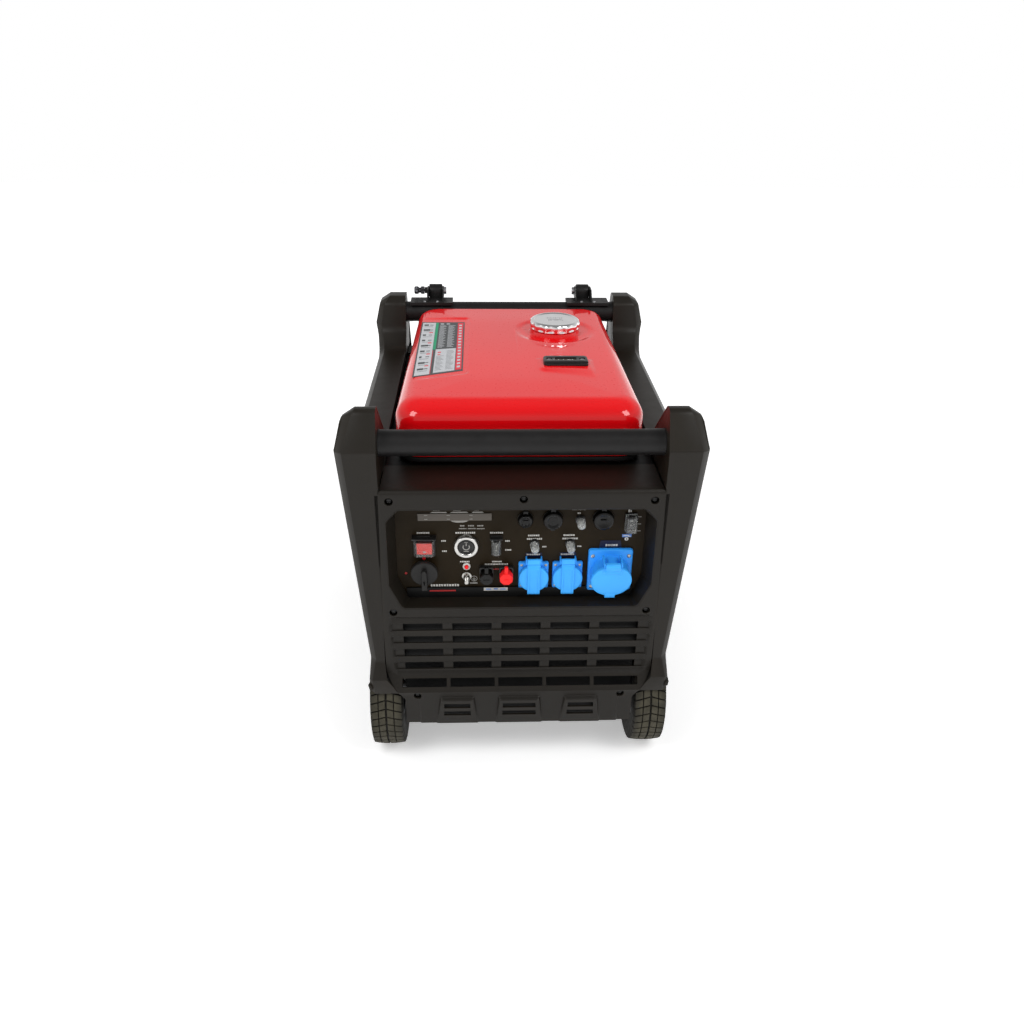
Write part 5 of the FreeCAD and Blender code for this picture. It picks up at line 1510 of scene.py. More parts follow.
def start_switch():
    """The start button in its bright ring, with a power symbol on its face."""
    bezel = Place("start_bezel")
    place = on_panel(bezel.x, bezel.z)

    def lobes(angle, radius, along):
        return -0.9 * (0.5 + 0.5 * math.cos(4 * angle)) ** 0.5 if radius > 19.4 and along > 1.4 else 0.0

    ring = turned("start_ring", [(13.5, -8), (13.5, 6.8), (14.2, 8.3), (15.6, 9), (18.7, 8.8), (20.3, 7.4),
                                 (20.9, 5.6), (21, 1.2), (20.4, 0.1), (16.8, 0), (16.6, -8)], place, 112,
                  lobes)
    finished(ring, "root", "chrome", look["satin_ring"], "start_bezel", sharp=40)
    face = turned("start_button_face", [(0, 6.2), (8, 6.2), (9.8, 6.8), (11.7, 7.8), (12.8, 7.6), (13.2, 6.8),
                                        (13.2, -5.4), (0, -5.4)], place, 72)
    finished(face, "start_push", "black_plastic", look["gloss_black"], "start_button", sharp=30)
    arc = [0.95 + (2 * math.pi - 1.9) * n / 28 + math.pi / 2 for n in range(29)]
    outline = [(5.8 * math.cos(a), 5.8 * math.sin(a)) for a in arc]
    outline += [(4.5 * math.cos(a), 4.5 * math.sin(a)) for a in reversed(arc)]
    symbol = pressed("start_symbol", outline, 6.1, 6.6, place)
    finished(symbol, "start_push", "black_plastic", look["ink_dim"])
    marks("start_symbol_bar", [(0, 4.8, 1.3, 5.0)] + word(0, -8.2, 8, 1.5) + word(0, 9.0, 6, 1.3), place,
          "ink_dim",
          "start_push", "black_plastic", 6.1, 6.7)


def reset_and_ground():
    """The reset button in its pale ring, and the earth stud with its wing nut."""
    button = Place("reset_button")
    place = on_panel(button.x, button.z)
    ring = turned("reset_ring", [(3.3, -9), (3.3, 1.6), (3.9, 2.6), (5.3, 3), (6.3, 2.4), (6.5, 1.4),
                                 (6.5, 0),
                                 (4.6, 0), (4.6, -9)], place, 48)
    finished(ring, "root", "black_plastic", look["ink"], "breaker_bodies")
    cap_piece = turned("reset_cap", [(0, 6.9), (1.8, 6.7), (2.7, 6), (3, 5), (3, -3.6), (0, -3.6)], place, 32)
    finished(cap_piece, "reset_push", "button_red", look["red"], "reset_button")
    stud = Place("ground_terminal")
    place = on_panel(stud.x, stud.z)
    ridge = [(0, -12.8), (4, -12.8)] + [(4 - 0.45 * (n % 2), -12 + n * 0.6) for n in range(54)] + [(3,
            20.6), (0, 20.9)]
    bolt = turned("ground_stud", ridge, place, 24)
    finished(bolt, "root", "brass", look["nickel"], "ground_terminal", sharp=20)
    washer = turned("ground_washer", [(4, 0), (8, 0), (8, 1.3), (7.6, 1.6), (4, 1.6)], place, 40)
    finished(washer, "root", "brass", look["nickel"])
    hub = turned("ground_nut", [(3.9, 3.2), (5.4, 3.2), (5.6, 4), (5.2, 8), (4.6, 11.2), (3.9, 11.8)],
                 place, 32)
    parts = [hub]
    for up in (-1, 1):
        outline = [(up * v, w) for v, w in ((4.2, 4), (6.4, 5.4), (8.8, 7.8), (9.3, 10.4), (8.5, 12.8),
                                            (7.0, 13.2),
                                           (5.4, 11.4), (4.4, 9.8))]
        parts.append(drawn("wing", outline, -1.5, 1.5, place, 0.7, 2))
    finished(joined("ground_wing_nut", parts), "root", "brass", look["nickel"], sharp=35)


def breakers():
    """The three push breakers: threaded collar, button, and a clear boot that moves with the button."""
    for name in ("left", "right", "dc"):
        button = Place(f"{name}_breaker_button")
        place = on_panel(button.x, button.z)
        collar = turned(f"{name}_breaker_collar", [(4.4, -20), (4.4, 6.4), (4.9, 7), (5.6, 7), (6.0, 6.6),
                                                   (6.4, 3.2),
                                                   (7.7, 3), (8, 2.6), (8, 0), (5.8, 0), (5.6, -20)], place,
                        48)
        finished(collar, "root", "black_plastic", look["gloss_black"], "breaker_bodies")
        stem = turned(f"{name}_breaker_stem", [(0, 12.8), (2.9, 12.6), (3.8, 11.8), (4, 11), (4, -3.8),
                                               (0, -3.8)],
                      place, 32)
        body = f"{name}_breaker"
        finished(stem, body, "black_plastic", look["stem_grey"], f"{name}_breaker_button")
        outer = [(7.2, 7.4), (7.4, 8.2), (6.9, 9.2), (6.8, 20.4), (6.3, 23.4), (4.9, 25.8), (2.6, 26.8),
                 (0, 27)]
        inner = [(0, 26.2), (2.4, 26.0), (4.3, 25.1), (5.6, 23.0), (6.0, 20.2), (6.1, 9.6), (6.5, 8.2),
                 (6.4, 7.4)]
        boot = turned(f"{name}_breaker_boot", outer + inner, place, 48)
        finished(boot, body, "display_tint", look["hazy"], sharp=50)


def fuel_knob():
    """The fuel valve's knob: a dished disc on a narrow neck, with a tapered lever and a pin hole."""
    knob = Place("fuel_knob")
    place = on_panel(knob.x, knob.z1 - 22)
    disc = turned("fuel_knob_disc", [(0, 17.6), (14, 17.8), (18.6, 18.6), (20.3, 19), (21.6, 18.4),
                                     (22, 17.2),
                                     (21.8, 11.6), (21, 10.6), (13, 10), (12.2, 1.4), (6.8, 1.2),
                                     (6.8, -9.8), (0, -9.8)],
                  place, 96)
    lever_outline = rounded([(-5.4, -29.5, 2.5), (5.4, -29.5, 2.5), (4.9, 4, 2), (2.4, 9.6, 1.6),
                             (-2.4, 9.6, 1.6),
                             (-4.9, 4, 2)], 5)
    lever = pressed("lever", lever_outline, 16.9, 24.6, place, 1.0, 0.9, 3)
    carve(lever, turned("hole", [(0, 21.6), (2.1, 21.6), (2.1, 27), (0, 27)],
                        on_panel(knob.x, knob.z1 - 34), 24),
          pressed("slot", oblong(0, -15.4, 1.7, 5, 0.4), 21.6, 27, place))
    whole = joined("fuel_knob_moulding", [disc, lever])
    finished(whole, "fuel_selector", "black_plastic", look["knob"], "fuel_knob", sharp=32)
    panel_lamp("fuel_off_dot", knob.x - 0.6, knob.z1 - 3.2, 2.6, "red")
    panel_lamp("fuel_on_dot", knob.x - 31.2, knob.z1 - 31.4, 2.2, "ink_red")


def parallel_terminals():
    """The two shrouded parallel terminals with their rubber caps, one black and one red."""
    box_place = Place("parallel_sockets")
    spots = (("black", box_place.x0 + 11.5, "cap_rubber", "seal_rubber"),
             ("red", box_place.x1 - 11.5, "cap_red",
                                                                     "button_red"))
    for name, x, tone, slot in spots:
        place = on_panel(x, box_place.z)
        shroud = ring_plate(f"parallel_{name}_shroud", oblong(0, 0, 23, 26, 3), oblong(0, 0, 17, 19, 3), 0,
                            9.6, place,
                            0.9)
        finished(shroud, "root", "black_plastic", look["gloss_black"], "parallel_sockets")
        # The insert deep in the shroud is black as painted shade.
        insert = turned(f"parallel_{name}_insert", [(0, 3), (6.6, 3), (6.8, 2.4), (6.8, -18), (0, -18)],
                        place, 32)
        finished(insert, "root", "black_plastic", look["shade_fill"])
        eight = polygon(0, -3.6, 12.4, 8, math.pi / 8)
        cap_piece = pressed("cap", eight, 4.2, 21, place, 1.4, 1.0, 3)
        carve(cap_piece, pressed("slit", oblong(0, -3.6, 10.5, 1.2, 0.3), 19.8, 23, place))
        tab = pressed("tab", rounded([(-3.2, 4, 1), (3.2, 4, 1), (3.2, 19, 2.8), (-3.2, 19, 2.8)]), 13.6,
                      19.4, place, 0.9)
        finished(joined(f"parallel_{name}_cap", [cap_piece, tab]), "root", slot, look[tone], sharp=34)


# ---------------------------------------------------------------- control panel: outlets and sockets

def flap_outlet(name, tab_below=False):
    """A round low-voltage outlet with its rubber flap, hinge block and finger tab."""
    flap = Place(f"{name}_cap")
    radius = flap.wide / 2
    z = flap.z0 + radius
    place = on_panel(flap.x, z)
    cup = turned(f"{name}_outlet", [(radius - 3, -18), (radius - 3, 2.2), (radius - 2.6, 3),
                                    (radius - 0.5, 3), (radius, 2.5),
                                    (radius, 0), (radius - 1.4, 0), (radius - 1.4, -25), (0, -25),
                                    (0, -18)], place, 64)
    finished(cup, "root", "black_plastic", look["gloss_black"], "outlet_bodies")
    core = turned(f"{name}_outlet_core", [(0, -6), (radius * 0.35, -6), (radius * 0.38, -7),
                                          (radius * 0.38, -18),
                                          (0, -18)], place, 32)
    finished(core, "root", "black_plastic", look["nickel"])
    disc = turned("disc", [(0, 10.6), (radius * 0.5, 10.8), (radius * 0.64, 12.4), (radius * 0.78, 12.9),
                           (radius - 1.6, 12.0), (radius - 0.4, 9.8), (radius, 4.4), (radius - 0.8, 3.4),
                           (0, 3.4)],
                  place, 72)
    hinge = pressed("hinge", oblong(0, radius, 8, 9.6, 1.6), 3.6, 8.6, place, 0.9)
    parts = [disc, hinge]
    if tab_below:
        parts.append(pressed("tab", oblong(0, -radius - 0.4, 8, 4.4, 1.4), 3.6, 8.6, place, 0.9))
    else:
        parts.append(pressed("ridge", oblong(0, 1.5, 9, 2.2, 1), 10.2, 12.4, place, 0.6))
    whole = joined(f"{name}_flap", parts)
    finished(whole, f"{name}_flap", "seal_rubber", look["cap_rubber"], f"{name}_cap", sharp=34)


def round_well(name, place, bore, outer, mouth, floor, back, material="blue"):
    """A socket's round barrel, open in front, with its floor inside."""
    profile = [(0, floor), (bore, floor), (bore, mouth - 0.5), (bore + 0.5, mouth), (outer - 0.4, mouth),
               (outer, mouth - 0.6), (outer, back), (0, back)]
    return finished(turned(name, profile, place, 80), "root", "socket_blue", look[material])


def ac_socket(side_name, lid_node, lid_body):
    """A domestic panel socket with its spring lid."""
    lid = Place(lid_node)
    z = lid.z1 - 31.5
    place = on_panel(lid.x, z)
    flange = pressed("flange", oblong(0, 0, 50, 50, 3.2), 0, 5.8, place, 1.2, 0.5, 3)
    carve(flange, turned("hole", [(0, -2), (19.6, -2), (19.6, 9), (0, 9)], place, 80))
    finished(joined(f"ac_{side_name}_flange", [flange]), "root", "socket_blue", look["blue"], "ac_sockets",
             sharp=34)
    round_well(f"ac_{side_name}_well", place, 19.5, 22.2, 0.4, -15.9, -29.8)
    for u in (-1, 1):
        for v in (-1, 1):
            cross_head(f"ac_{side_name}_screw_{u + 1}{v + 1}",
                       seat(lid.x + u * 19.8, PANEL - 5.7, z + v * 19.8), 2.6,
                       "nickel", height=1.1)
        # These dark discs on the well floor are painted shade where the contact holes are.
        pin = turned(f"ac_{side_name}_contact_{u + 1}", [(0, -15.7), (2.6, -15.7), (2.6, -15.2), (0, -15.2)],
                     seat(lid.x + u * 9.5, PANEL, z), 24)
        finished(pin, "root", "socket_blue", look["shade_fill"])
        clip = pressed(f"ac_{side_name}_clip_{u + 1}", oblong(0, u * 17.8, 5, 2, 0.6), -15.9, -5, place, 0.4)
        finished(clip, "root", "socket_blue", look["nickel"])
        outline = rounded([(23.6, 0.2, 0.5), (35.3, 0.2, 2.5), (35.3, 14, 4), (23.8, 14, 3.4)], 4)
        ear = drawn(f"ac_{side_name}_ear_{u + 1}", outline, u * 11.1, u * 13.3, place, 0.6)
        finished(ear, "root", "socket_blue", look["blue"])
    disc = turned("disc", [(0, 15.9), (20, 15.8), (23.2, 15.4), (24.2, 14.6), (24.5, 13.4), (24.5, 8.6),
                           (23.9, 7.4),
                           (0, 7.4)], on_panel(lid.x, z - 2), 96)
    # The hinge axis is at (28, 9.6). The rear of the block keeps within 4.8 of it, so it clears the flange.
    knuckle_outline = rounded([(15, 7.6, 1), (25.4, 6.6, 0.5), (26.6, 5.1, 0.4), (29.6, 5.2, 0.8),
                               (32, 7.2, 0.8),
                               (32.6, 9.6, 0.5), (35.2, 10.6, 1), (35.2, 15, 3.5), (15, 15.6, 1)], 5)
    knuckle = drawn("knuckle", knuckle_outline, -10.8, 10.8, place, 0.6)
    carve(knuckle, drawn("groove", [(25.6, 13.4), (25.6, 18), (26.4, 18), (26.4, 13.4)], -12, 12, place))
    band = drawn("band", rounded([(-31.5, 8.4, 2.5), (-31.5, 15.6, 2.5), (-27, 18, 2), (18, 18, 4),
                                  (24.6, 15.4, 1.5),
                                  (24.6, 10, 1), (-22, 10, 1)], 4), -10.3, 10.3, place, 0.7, 2)
    groove = [drawn("groove", [(-28, 17.6), (-28, 20), (17, 20), (17, 17.6)], u * 6.8 - 0.3, u * 6.8 + 0.3,
                    place)
              for u in (-1, 1)]
    carve(band, *groove)
    whole = joined(f"ac_{side_name}_lid", [disc, knuckle, band])
    finished(whole, lid_body, "socket_blue", look["lid_blue"], lid_node, sharp=34)
    label = pressed(f"ac_{side_name}_label", oblong(0, 36, 27, 9, 0.8), 0, 0.5, place, 0.15)
    finished(label, "root", "panel_plate", look["navy"])
    marks(f"ac_{side_name}_label_bars", word(0, 37.2, 23, 3.0), place, "ink", low=0.5, high=0.7)


POWER_LEAN = 13


def power_socket():
    """The big round socket: its flange is upright, its collar and lid lean down a little."""
    flange_box = Place("cee_socket")
    upright = on_panel(flange_box.x, flange_box.z)
    lean = seat(flange_box.x, PANEL, flange_box.z, "front", POWER_LEAN)
    flange = pressed("flange", oblong(0, 0, 73.8, 79.8, 5, 6), 0, 7.8, upright, 2.2, 0.8, 4)
    carve(flange, turned("hole", [(0, -3), (30, -3), (30, 10), (0, 10)], upright, 96))
    finished(joined("power_flange", [flange]), "root", "socket_blue", look["blue"], "cee_socket", sharp=34)
    collar = [(24.2, 2), (24.2, 25.2), (24.8, 25.8), (29.8, 25.8), (30.6, 25), (30.9, 22), (30.9, 3),
              (30.9, -3), (0, -3),
              (0, 2)]
    finished(turned("power_collar", collar, lean, 112), "root", "socket_blue", look["blue"])
    barrel = turned("power_barrel", [(0, -2), (30.4, -2), (30.4, -34), (26, -34.8), (0, -34.8)], upright, 96)
    finished(barrel, "root", "socket_blue", look["blue"])
    # The three dark contacts are painted shade: their black stands for the shade in the contact holes.
    for n in range(3):
        angle = math.pi / 2 + n * 2 * math.pi / 3
        pin = turned(f"power_contact_{n}", [(0, 10), (3.4, 10), (4, 9.2), (4, 1.8), (0, 1.8)],
                     lean @ Matrix.Translation((12.5 * math.cos(angle), 12.5 * math.sin(angle), 0)), 28)
        finished(pin, "root", "socket_blue", look["shade_fill"])
    for u in (-1, 1):
        for v in (-1, 1):
            spot = seat(flange_box.x + u * 29.4, PANEL - 7.7, flange_box.z - 1.4 + v * 29.5)
            cross_head(f"power_screw_{u + 1}{v + 1}", spot, 3.6, "nickel", height=1.5)
        outline = rounded([(28.5, 14, 2), (32.8, 9, 1.5), (39.6, 9, 1.5), (41, 30, 4.6), (38.6, 34.4, 3.6),
                           (34.4, 34.4, 3.6), (33.9, 26, 2), (28.5, 24.6, 1)], 4)
        ear = drawn(f"power_ear_{u + 1}", outline, u * 12.6, u * 15.4, lean, 0.5)
        finished(ear, "root", "socket_blue", look["blue"])
    disc = turned("disc", [(0, 33), (29, 33), (31.6, 32.6), (33, 31.7), (33.5, 30.4), (33.5, 27.4),
                           (32.9, 26.6),
                           (0, 26.6)], lean, 128)
    strap = drawn("strap", rounded([(20, 27, 1), (37, 26.7, 3), (40.3, 28, 4), (40.3, 34, 4), (37, 36, 3),
                                    (28, 35.6, 3),
                                    (22, 33.2, 2)], 5), -12, 12, lean, 0.8)
    shoulder = drawn("shoulder", rounded([(18, 27, 1), (27.5, 27, 1), (27.5, 34.4, 2), (18, 33.4, 1)], 4),
                     -15, 15, lean, 0.9)
    tab = drawn("tab", rounded([(-27, 26.9, 0.5), (-36.6, 26.9, 2), (-38, 30, 2), (-36.8, 33.2, 1.5),
                                (-27, 33.2, 0.5)], 4),
                -8.4, 8.4, lean, 1.0)
    whole = joined("power_lid", [disc, strap, shoulder, tab])
    finished(whole, "power_lid", "socket_blue", look["lid_blue"], "cee_lid", sharp=34)
    top = flange_box.z1
    label = pressed("power_label", rounded([(-19, 0.5, 1), (19, 0.5, 1), (16.5, 16.5, 2),
                                            (-16.5, 16.5, 2)]), 0, 0.8,
                    on_panel(flange_box.x - 1, top - 3), 0.2)
    finished(label, "root", "panel_plate", look["navy"])
    marks("power_label_bars", word(-1, 7.8, 8, 4) + word(7.5, 7.8, 15, 4, 2),
          on_panel(flange_box.x - 4, top - 3), "ink",
          low=0.8, high=1.0)


panel_prints()
display()
switches()
start_switch()
reset_and_ground()
breakers()
fuel_knob()
parallel_terminals()
flap_outlet("usb")
flap_outlet("remote", tab_below=True)
flap_outlet("charge")
ac_socket("left", "ac_lid_left", "left_ac_lid")
ac_socket("right", "ac_lid_right", "right_ac_lid")
power_socket()

# ---------------------------------------------------------------- back cover and deck


def back_cover():
    """The back cover's relief: hooded louvres in a frame, a service door, an exhaust plate and screws."""
    cover = Place("rear_fascia")
    rows = [300 + 24 * n for n in range(8)]
    middle = seat(0, cover.y1, (rows[0] + rows[-1] + SLOT_HEIGHT) / 2, "rear")
    tall = rows[-1] - rows[0] + SLOT_HEIGHT
    rim = ring_plate("back_louvre_frame", oblong(0, 0, 216, tall + 34, 14), oblong(0, 0, 202, tall + 20, 8),
                     -0.3, 3.6,
                     middle, 1.3)
    finished(rim, "root", "fascia_plastic", look["fascia"])
    hoods = []
    for row in range(8):
        low = -tall / 2 + 24 * row
        outline = [(low + 14.5, -0.3), (low + 13.4, 1.4), (low + 5.2, 6.2), (low + 3.4, 6.0),
                   (low + 9.4, 1.6),
                   (low + 9.2, -0.3)]
        hoods.append(drawn("hood", outline, -93, 93, middle, 0.6))
    finished(joined("back_louvre_hoods", hoods), "root", "fascia_plastic", look["fascia"], sharp=30)
    # A black sheet of painted shade behind the louvres, so the slots show shade rather than the light through
    # them.
    louvre_shade_panel = block("back_shade_sheet", (-104, 104), (282, 285), (292, 500), 0.8)
    finished(louvre_shade_panel, "root", "fascia_plastic", look["shade_fill"])
    door = seat(82, cover.y1, 186, "rear")
    # The dark ring round the door is painted shade in the gap between door and cover.
    gap = ring_plate("back_door_gap", oblong(0, 0, 176, 106, 12), oblong(0, 0, 170, 100, 10), -0.2, 1.0,
                     door, 0.3)
    finished(gap, "root", "fascia_plastic", look["shade_fill"])
    leaf = pressed("leaf", oblong(0, 0, 169, 99, 9.5), -0.2, 3.0, door, 1.2, 0.6, 3)
    ribs = [pressed("rib", oblong(0, v, 118, 3.6, 1.7), 2.8, 4.4, door, 0.8) for v in (-20, -10, 0, 10, 20)]
    grip = pressed("grip", oblong(0, 38, 46, 9, 4), 1.4, 6, door, 0)
    carve(leaf, grip)
    finished(joined("back_service_door", [leaf, *ribs]), "root", "fascia_plastic", look["fascia"], sharp=34)
    for u in (-1, 1):
        for v in (-1, 1):
            spot = seat(82 + u * 75, cover.y1 + 2.9, 186 + v * 40, "rear")
            cross_head(f"back_door_screw_{u + 1}{v + 1}", spot, 4.4, "gloss_black")
    outlet = seat(-110, cover.y1, 200, "rear")
    shield = turned("exhaust_plate", [(25.2, -0.2), (38, -0.2), (39, 0.6), (39, 1.4), (38, 2.2), (28, 2.6),
                                      (26.4, 4.4),
                                      (25.4, 4.6), (25.2, 4)], outlet, 72)
    finished(shield, "root", "muffler_steel", look["steel"], sharp=30)
    for n in range(3):
        angle = math.pi / 2 + n * 2 * math.pi / 3
        cross_head(f"exhaust_screw_{n}", outlet @ Matrix.Translation((33 * math.cos(angle),
                33 * math.sin(angle), 1.8)),
                   3.2)
    for n, (x, z) in enumerate(((196, 522), (196, 330), (186, 128), (0, 528))):
        for side in ((-1, 1) if x else (1,)):
            cross_head(f"back_screw_{n}{side + 1}", seat(side * x, cover.y1 - 0.4, z, "rear"), 5.2,
                       "gloss_black",
                       height=2.4)


def deck():
    """A flat ring round the tank in painted-shade black, which closes the gap to the rails and shelves and
    stands in for the shade there.
    """
    shade_surround = ring_plate("deck_shade_ring", oblong(0, 18, 440, 560, 6), oblong(0, 18, 380, 500, 6), 540, 544,
                        seat(0, 0, 0, "top"), 0.6)
    return finished(shade_surround, "root", "fascia_plastic", look["shade_fill"])


# ---------------------------------------------------------------- engine bay


def inverter():
    """The inverter: a finned cast case with a cover plate and a connector."""
    room = Place("inverter_module")
    outline = [(room.x0, room.y0 + 26), (room.x0, room.y1), (room.x1, room.y1), (room.x1, room.y0 + 26)]
    pitch = (room.wide - 8) / 22
    for n in range(23):
        at = room.x1 - 4 - n * pitch
        outline += [(at + 1.6, room.y0 + 26), (at + 1.1, room.y0), (at - 1.1, room.y0),
                    (at - 1.6, room.y0 + 26)]
    case = slab("inverter_case", outline, "XY", room.z0, room.z1 - 2, 0.4)
    lid = block("lid", (room.x0 + 2, room.x1 - 2), (room.y0 + 24, room.y1 - 2), (room.z1 - 3, room.z1), 1.0,
                corner=6,
                plane="XY")
    finished(joined("inverter_body", [case, lid]), "root", "cast_alloy", look["alloy"], "inverter_module",
             sharp=34)


def starter_battery():
    """The starter battery: a case with a seam, a lid and two posts."""
    room = Place("battery")
    case = block("case", (room.x0, room.x1), (room.y0, room.y1), (room.z0, room.z1 - 32), 1.6, corner=5,
                 plane="XY")
    seam = block("seam", (room.x0 + 1.2, room.x1 - 1.2), (room.y0 + 1.2, room.y1 - 1.2),
                 (room.z1 - 33, room.z1 - 29), 0.4,
                 corner=4, plane="XY")
    lid = block("lid", (room.x0, room.x1), (room.y0, room.y1), (room.z1 - 30, room.z1 - 14), 2.0, corner=5,
                plane="XY")
    finished(joined("battery_case", [case, seam, lid]), "root", "black_plastic", look["gloss_black"],
             "battery", sharp=34)
    for n, y in enumerate((room.y0 + 20, room.y1 - 20)):
        post = turned(f"battery_post_{n}", [(0, 0), (8.4, 0), (7.8, 13.6), (6.6, 14), (0, 14)],
                      seat(room.x, y, room.z1 - 14, "top"), 32)
        finished(post, "root", "cast_alloy", look["alloy"])


def air_box():
    """The air cleaner: a ribbed case, a lid with a lip and two snap clips."""
    room = Place("air_cleaner")
    split = room.z0 + 74
    case = block("case", (room.x0 + 3, room.x1 - 3), (room.y0 + 3, room.y1 - 3), (room.z0, split), 3.0,
                 corner=10,
                 plane="XY")
    lip = block("lip", (room.x0, room.x1), (room.y0 + 1, room.y1 - 1), (split - 3, split + 4), 1.4,
                corner=11, plane="XY")
    lid = block("lid", (room.x0 + 3, room.x1 - 3), (room.y0 + 3, room.y1 - 3), (split, room.z1 - 3), 6.0, 3,
                corner=10,
                plane="XY")
    ribs = [block("rib", (x - 1.5, x + 1.5), (room.y0 + 14, room.y1 - 14), (room.z1 - 6, room.z1), 0.8)
            for x in (room.x - 30, room.x - 10, room.x + 10, room.x + 30)]
    finished(joined("air_box_case", [case, lip, lid, *ribs]), "root", "black_plastic", look["knob"],
             "air_cleaner",
             sharp=34)
    clips = [block("clip", (room.x + s * 26 - 7, room.x + s * 26 + 7), (room.y0, room.y0 + 2.6),
                   (split - 16, split + 16),
                   0.8) for s in (-1, 1)]
    finished(joined("air_box_clips", clips), "root", "black_plastic", look["zinc"])


def starter():
    """The starter motor: a drawn can with end caps."""
    room = Place("starter_motor")
    reach = room.tall / 2
    profile = [(0, room.y0), (reach - 6, room.y0), (reach - 2, room.y0 + 3), (reach - 1.4, room.y0 + 16),
               (reach - 3, room.y0 + 17), (reach - 3, room.y0 + 19), (reach, room.y0 + 20),
               (reach, room.y1 - 24),
               (reach - 3, room.y1 - 23), (reach - 3, room.y1 - 21), (reach - 1.4, room.y1 - 20),
               (reach - 2, room.y1 - 3), (reach - 6, room.y1), (0, room.y1)]
    can = lathe("starter_can", [(radius, -(y - room.y)) for radius, y in reversed(profile)],
                (room.x, room.y, room.z), "Y", 72)
    finished(can, "root", "tube_paint", look["bar"], "starter_motor", sharp=34)


def dress(material, *nodes, soften=0.0):
    """Gives carried-over CAD nodes a procedural material and, where asked, rounded edges."""
    for node in nodes:
        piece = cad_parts[node]
        for holder in piece.material_slots:
            holder.material = look[material]
        if soften:
            edges = piece.modifiers.new("rounded_edges", "BEVEL")
            edges.width = soften * MM
            edges.segments = 2
            edges.limit_method = "ANGLE"
            edges.angle_limit = math.radians(50)


back_cover()
deck()
inverter()
starter_battery()
air_box()
starter()
dress("panel", "control_panel")
dress("fascia", "rear_fascia", soften=0.8)
dress("bar", "handle_brackets", soften=1.0)
dress("zinc", "handle_pivot_bolts", "wheel_axles")
dress("tray", "base_tray", soften=0.8)
dress("rubber", "rear_feet", "engine_mounts", "fuel_cap_core", soften=1.0)
dress("alloy", "engine_block", "cylinder_head", "carburetor", "fuel_valve", soften=0.8)
dress("muffler", "muffler", soften=1.6)
dress("copper", "alternator_stator", soften=1.0)
dress("steel", "crank_rotor", soften=0.6)

# ---------------------------------------------------------------- camera, light and floor


FLOOR_GLOW_NEAR = (0.9, 0.37)
FLOOR_GLOW_FAR = (2.4, 0.75)


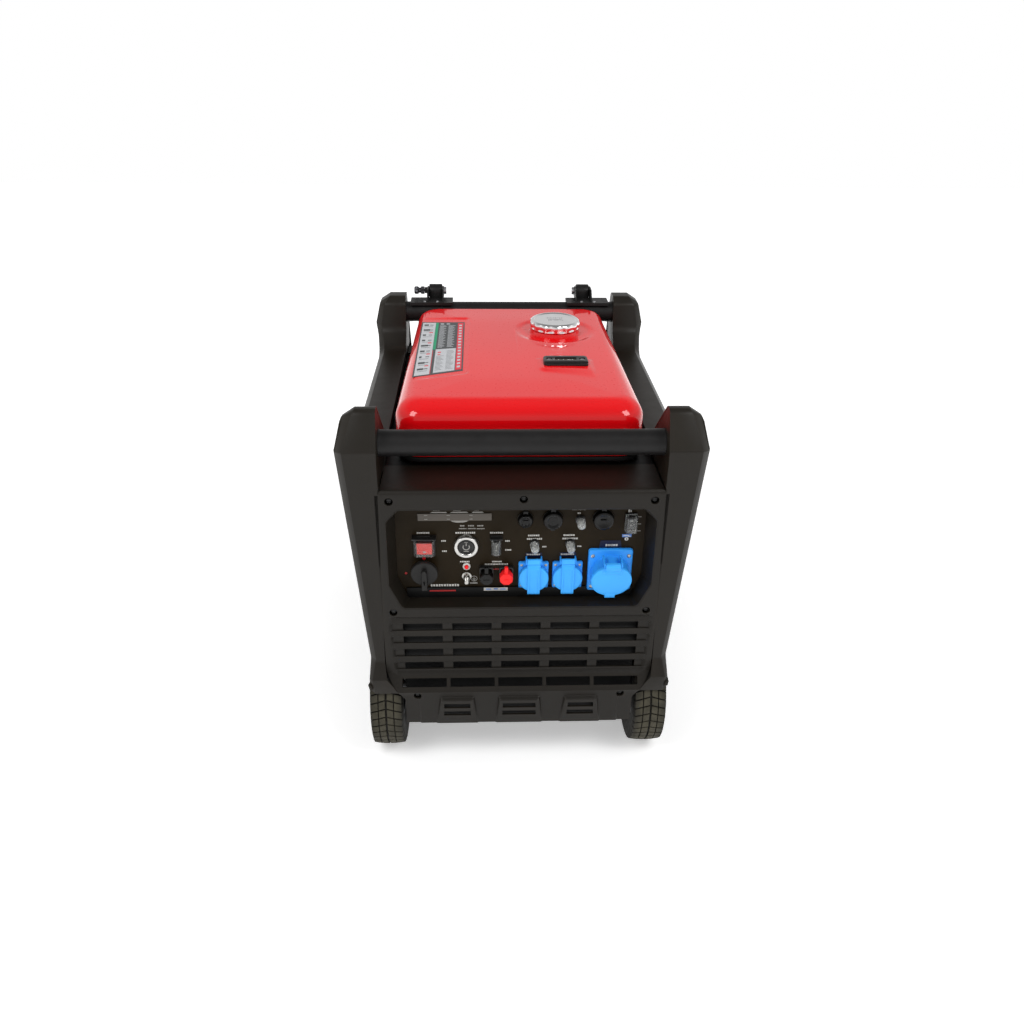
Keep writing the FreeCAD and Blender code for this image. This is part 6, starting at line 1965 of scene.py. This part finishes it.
def studio():
    """A floor that glows more away from the object, a pale sky, a soft light above and two soft boxes."""
    floor = make("floor", [(-6000, -6000, 0), (6000, -6000, 0), (6000, 6000, 0), (-6000, 6000, 0)],
                 [(0, 1, 2, 3)])
    recipe = Recipe("floor_paper", 0.9, Emission_Color=(1.0, 1.0, 1.0, 1.0), Emission_Strength=0.36)
    recipe.colour(recipe.mix(recipe.spread(recipe.noise(3, 3), 0.3, 0.7), (0.93, 0.93, 0.93),
                             (0.95, 0.95, 0.95)))
    recipe.bump(recipe.noise(400, 2), 0.05, 0.2)
    nodes, links = recipe.material.node_tree.nodes, recipe.material.node_tree.links
    spot = nodes.new("ShaderNodeTexCoord")
    reach = nodes.new("ShaderNodeVectorMath")
    reach.operation = "LENGTH"
    links.new(spot.outputs["Object"], reach.inputs[0])
    glow = nodes.new("ShaderNodeMapRange")
    links.new(reach.outputs["Value"], glow.inputs["Value"])
    for key, value in (("From Min", FLOOR_GLOW_NEAR[0]), ("From Max", FLOOR_GLOW_FAR[0]),
                       ("To Min", FLOOR_GLOW_NEAR[1]), ("To Max", FLOOR_GLOW_FAR[1])):
        glow.inputs[key].default_value = value
    links.new(glow.outputs["Result"], recipe.shader.inputs["Emission Strength"])
    floor.data.materials.append(recipe.material)
    world = bpy.data.worlds.new("studio")
    scene.world = world
    world.use_nodes = True
    sky = world.node_tree
    backdrop = sky.nodes["Background"]
    backdrop.inputs["Color"].default_value = (1.0, 1.0, 1.0, 1.0)
    direction = sky.nodes.new("ShaderNodeTexCoord")
    apart = sky.nodes.new("ShaderNodeSeparateXYZ")
    sky.links.new(direction.outputs["Generated"], apart.inputs[0])
    product = sky.nodes.new("ShaderNodeMath")
    product.operation = "MULTIPLY"
    for number, (start, end, darkest) in enumerate(((0.02, 0.15, 0.62), (0.5, 0.8, 0.4))):
        fade = sky.nodes.new("ShaderNodeMapRange")
        sky.links.new(apart.outputs["Z"], fade.inputs["Value"])
        for key, value in (("From Min", start), ("From Max", end), ("To Min", 1.0), ("To Max", darkest)):
            fade.inputs[key].default_value = value
        sky.links.new(fade.outputs["Result"], product.inputs[number])
    sky.links.new(product.outputs[0], backdrop.inputs["Strength"])
    lights = [("top_box", (0, 300, 2300), (0, 150, 400), 2.6, 1.6, 18, False),
              ("left_box", (-1400, -1450, 2300), (-150, -150, 450), 1.0, 1.05, 25, True),
              ("right_box", (1400, -1450, 2300), (150, -150, 450), 1.0, 1.05, 25, True)]
    for name, spot, aim, width, height, power, mirrored in lights:
        data = bpy.data.lights.new(name, "AREA")
        data.shape = "RECTANGLE"
        data.size = width
        data.size_y = height
        data.energy = power
        lamp = bpy.data.objects.new(name, data)
        scene.collection.objects.link(lamp)
        lamp.visible_glossy = mirrored
        lamp.location = Vector(spot) * MM
        lamp.rotation_euler = (Vector(aim) - Vector(spot)).to_track_quat("-Z", "Y").to_euler()
    scene.view_settings.view_transform = "Standard"
    scene.view_settings.look = "None"


def camera():
    """The camera stands in front, above and slightly to the left, and looks down at the panel."""
    pitch, yaw, roll = (math.radians(angle) for angle in (29.106, 2.307, 0.754))
    ahead = Vector((math.sin(yaw) * math.cos(pitch), math.cos(yaw) * math.cos(pitch), -math.sin(pitch)))
    right = Vector((math.cos(yaw), -math.sin(yaw), 0))
    up = right.cross(ahead)
    turned_right = right * math.cos(roll) + up * math.sin(roll)
    turned_up = up * math.cos(roll) - right * math.sin(roll)
    data = bpy.data.cameras.new("camera")
    data.sensor_width = 36
    data.lens = 31.04
    view = bpy.data.objects.new("camera", data)
    scene.collection.objects.link(view)
    view.matrix_world = Matrix.Translation(Vector((-64.1, -1543.4, 1176.3)) * MM) @ Matrix(
        (turned_right, turned_up, -ahead)).transposed().to_4x4()
    scene.camera = view


studio()
camera()
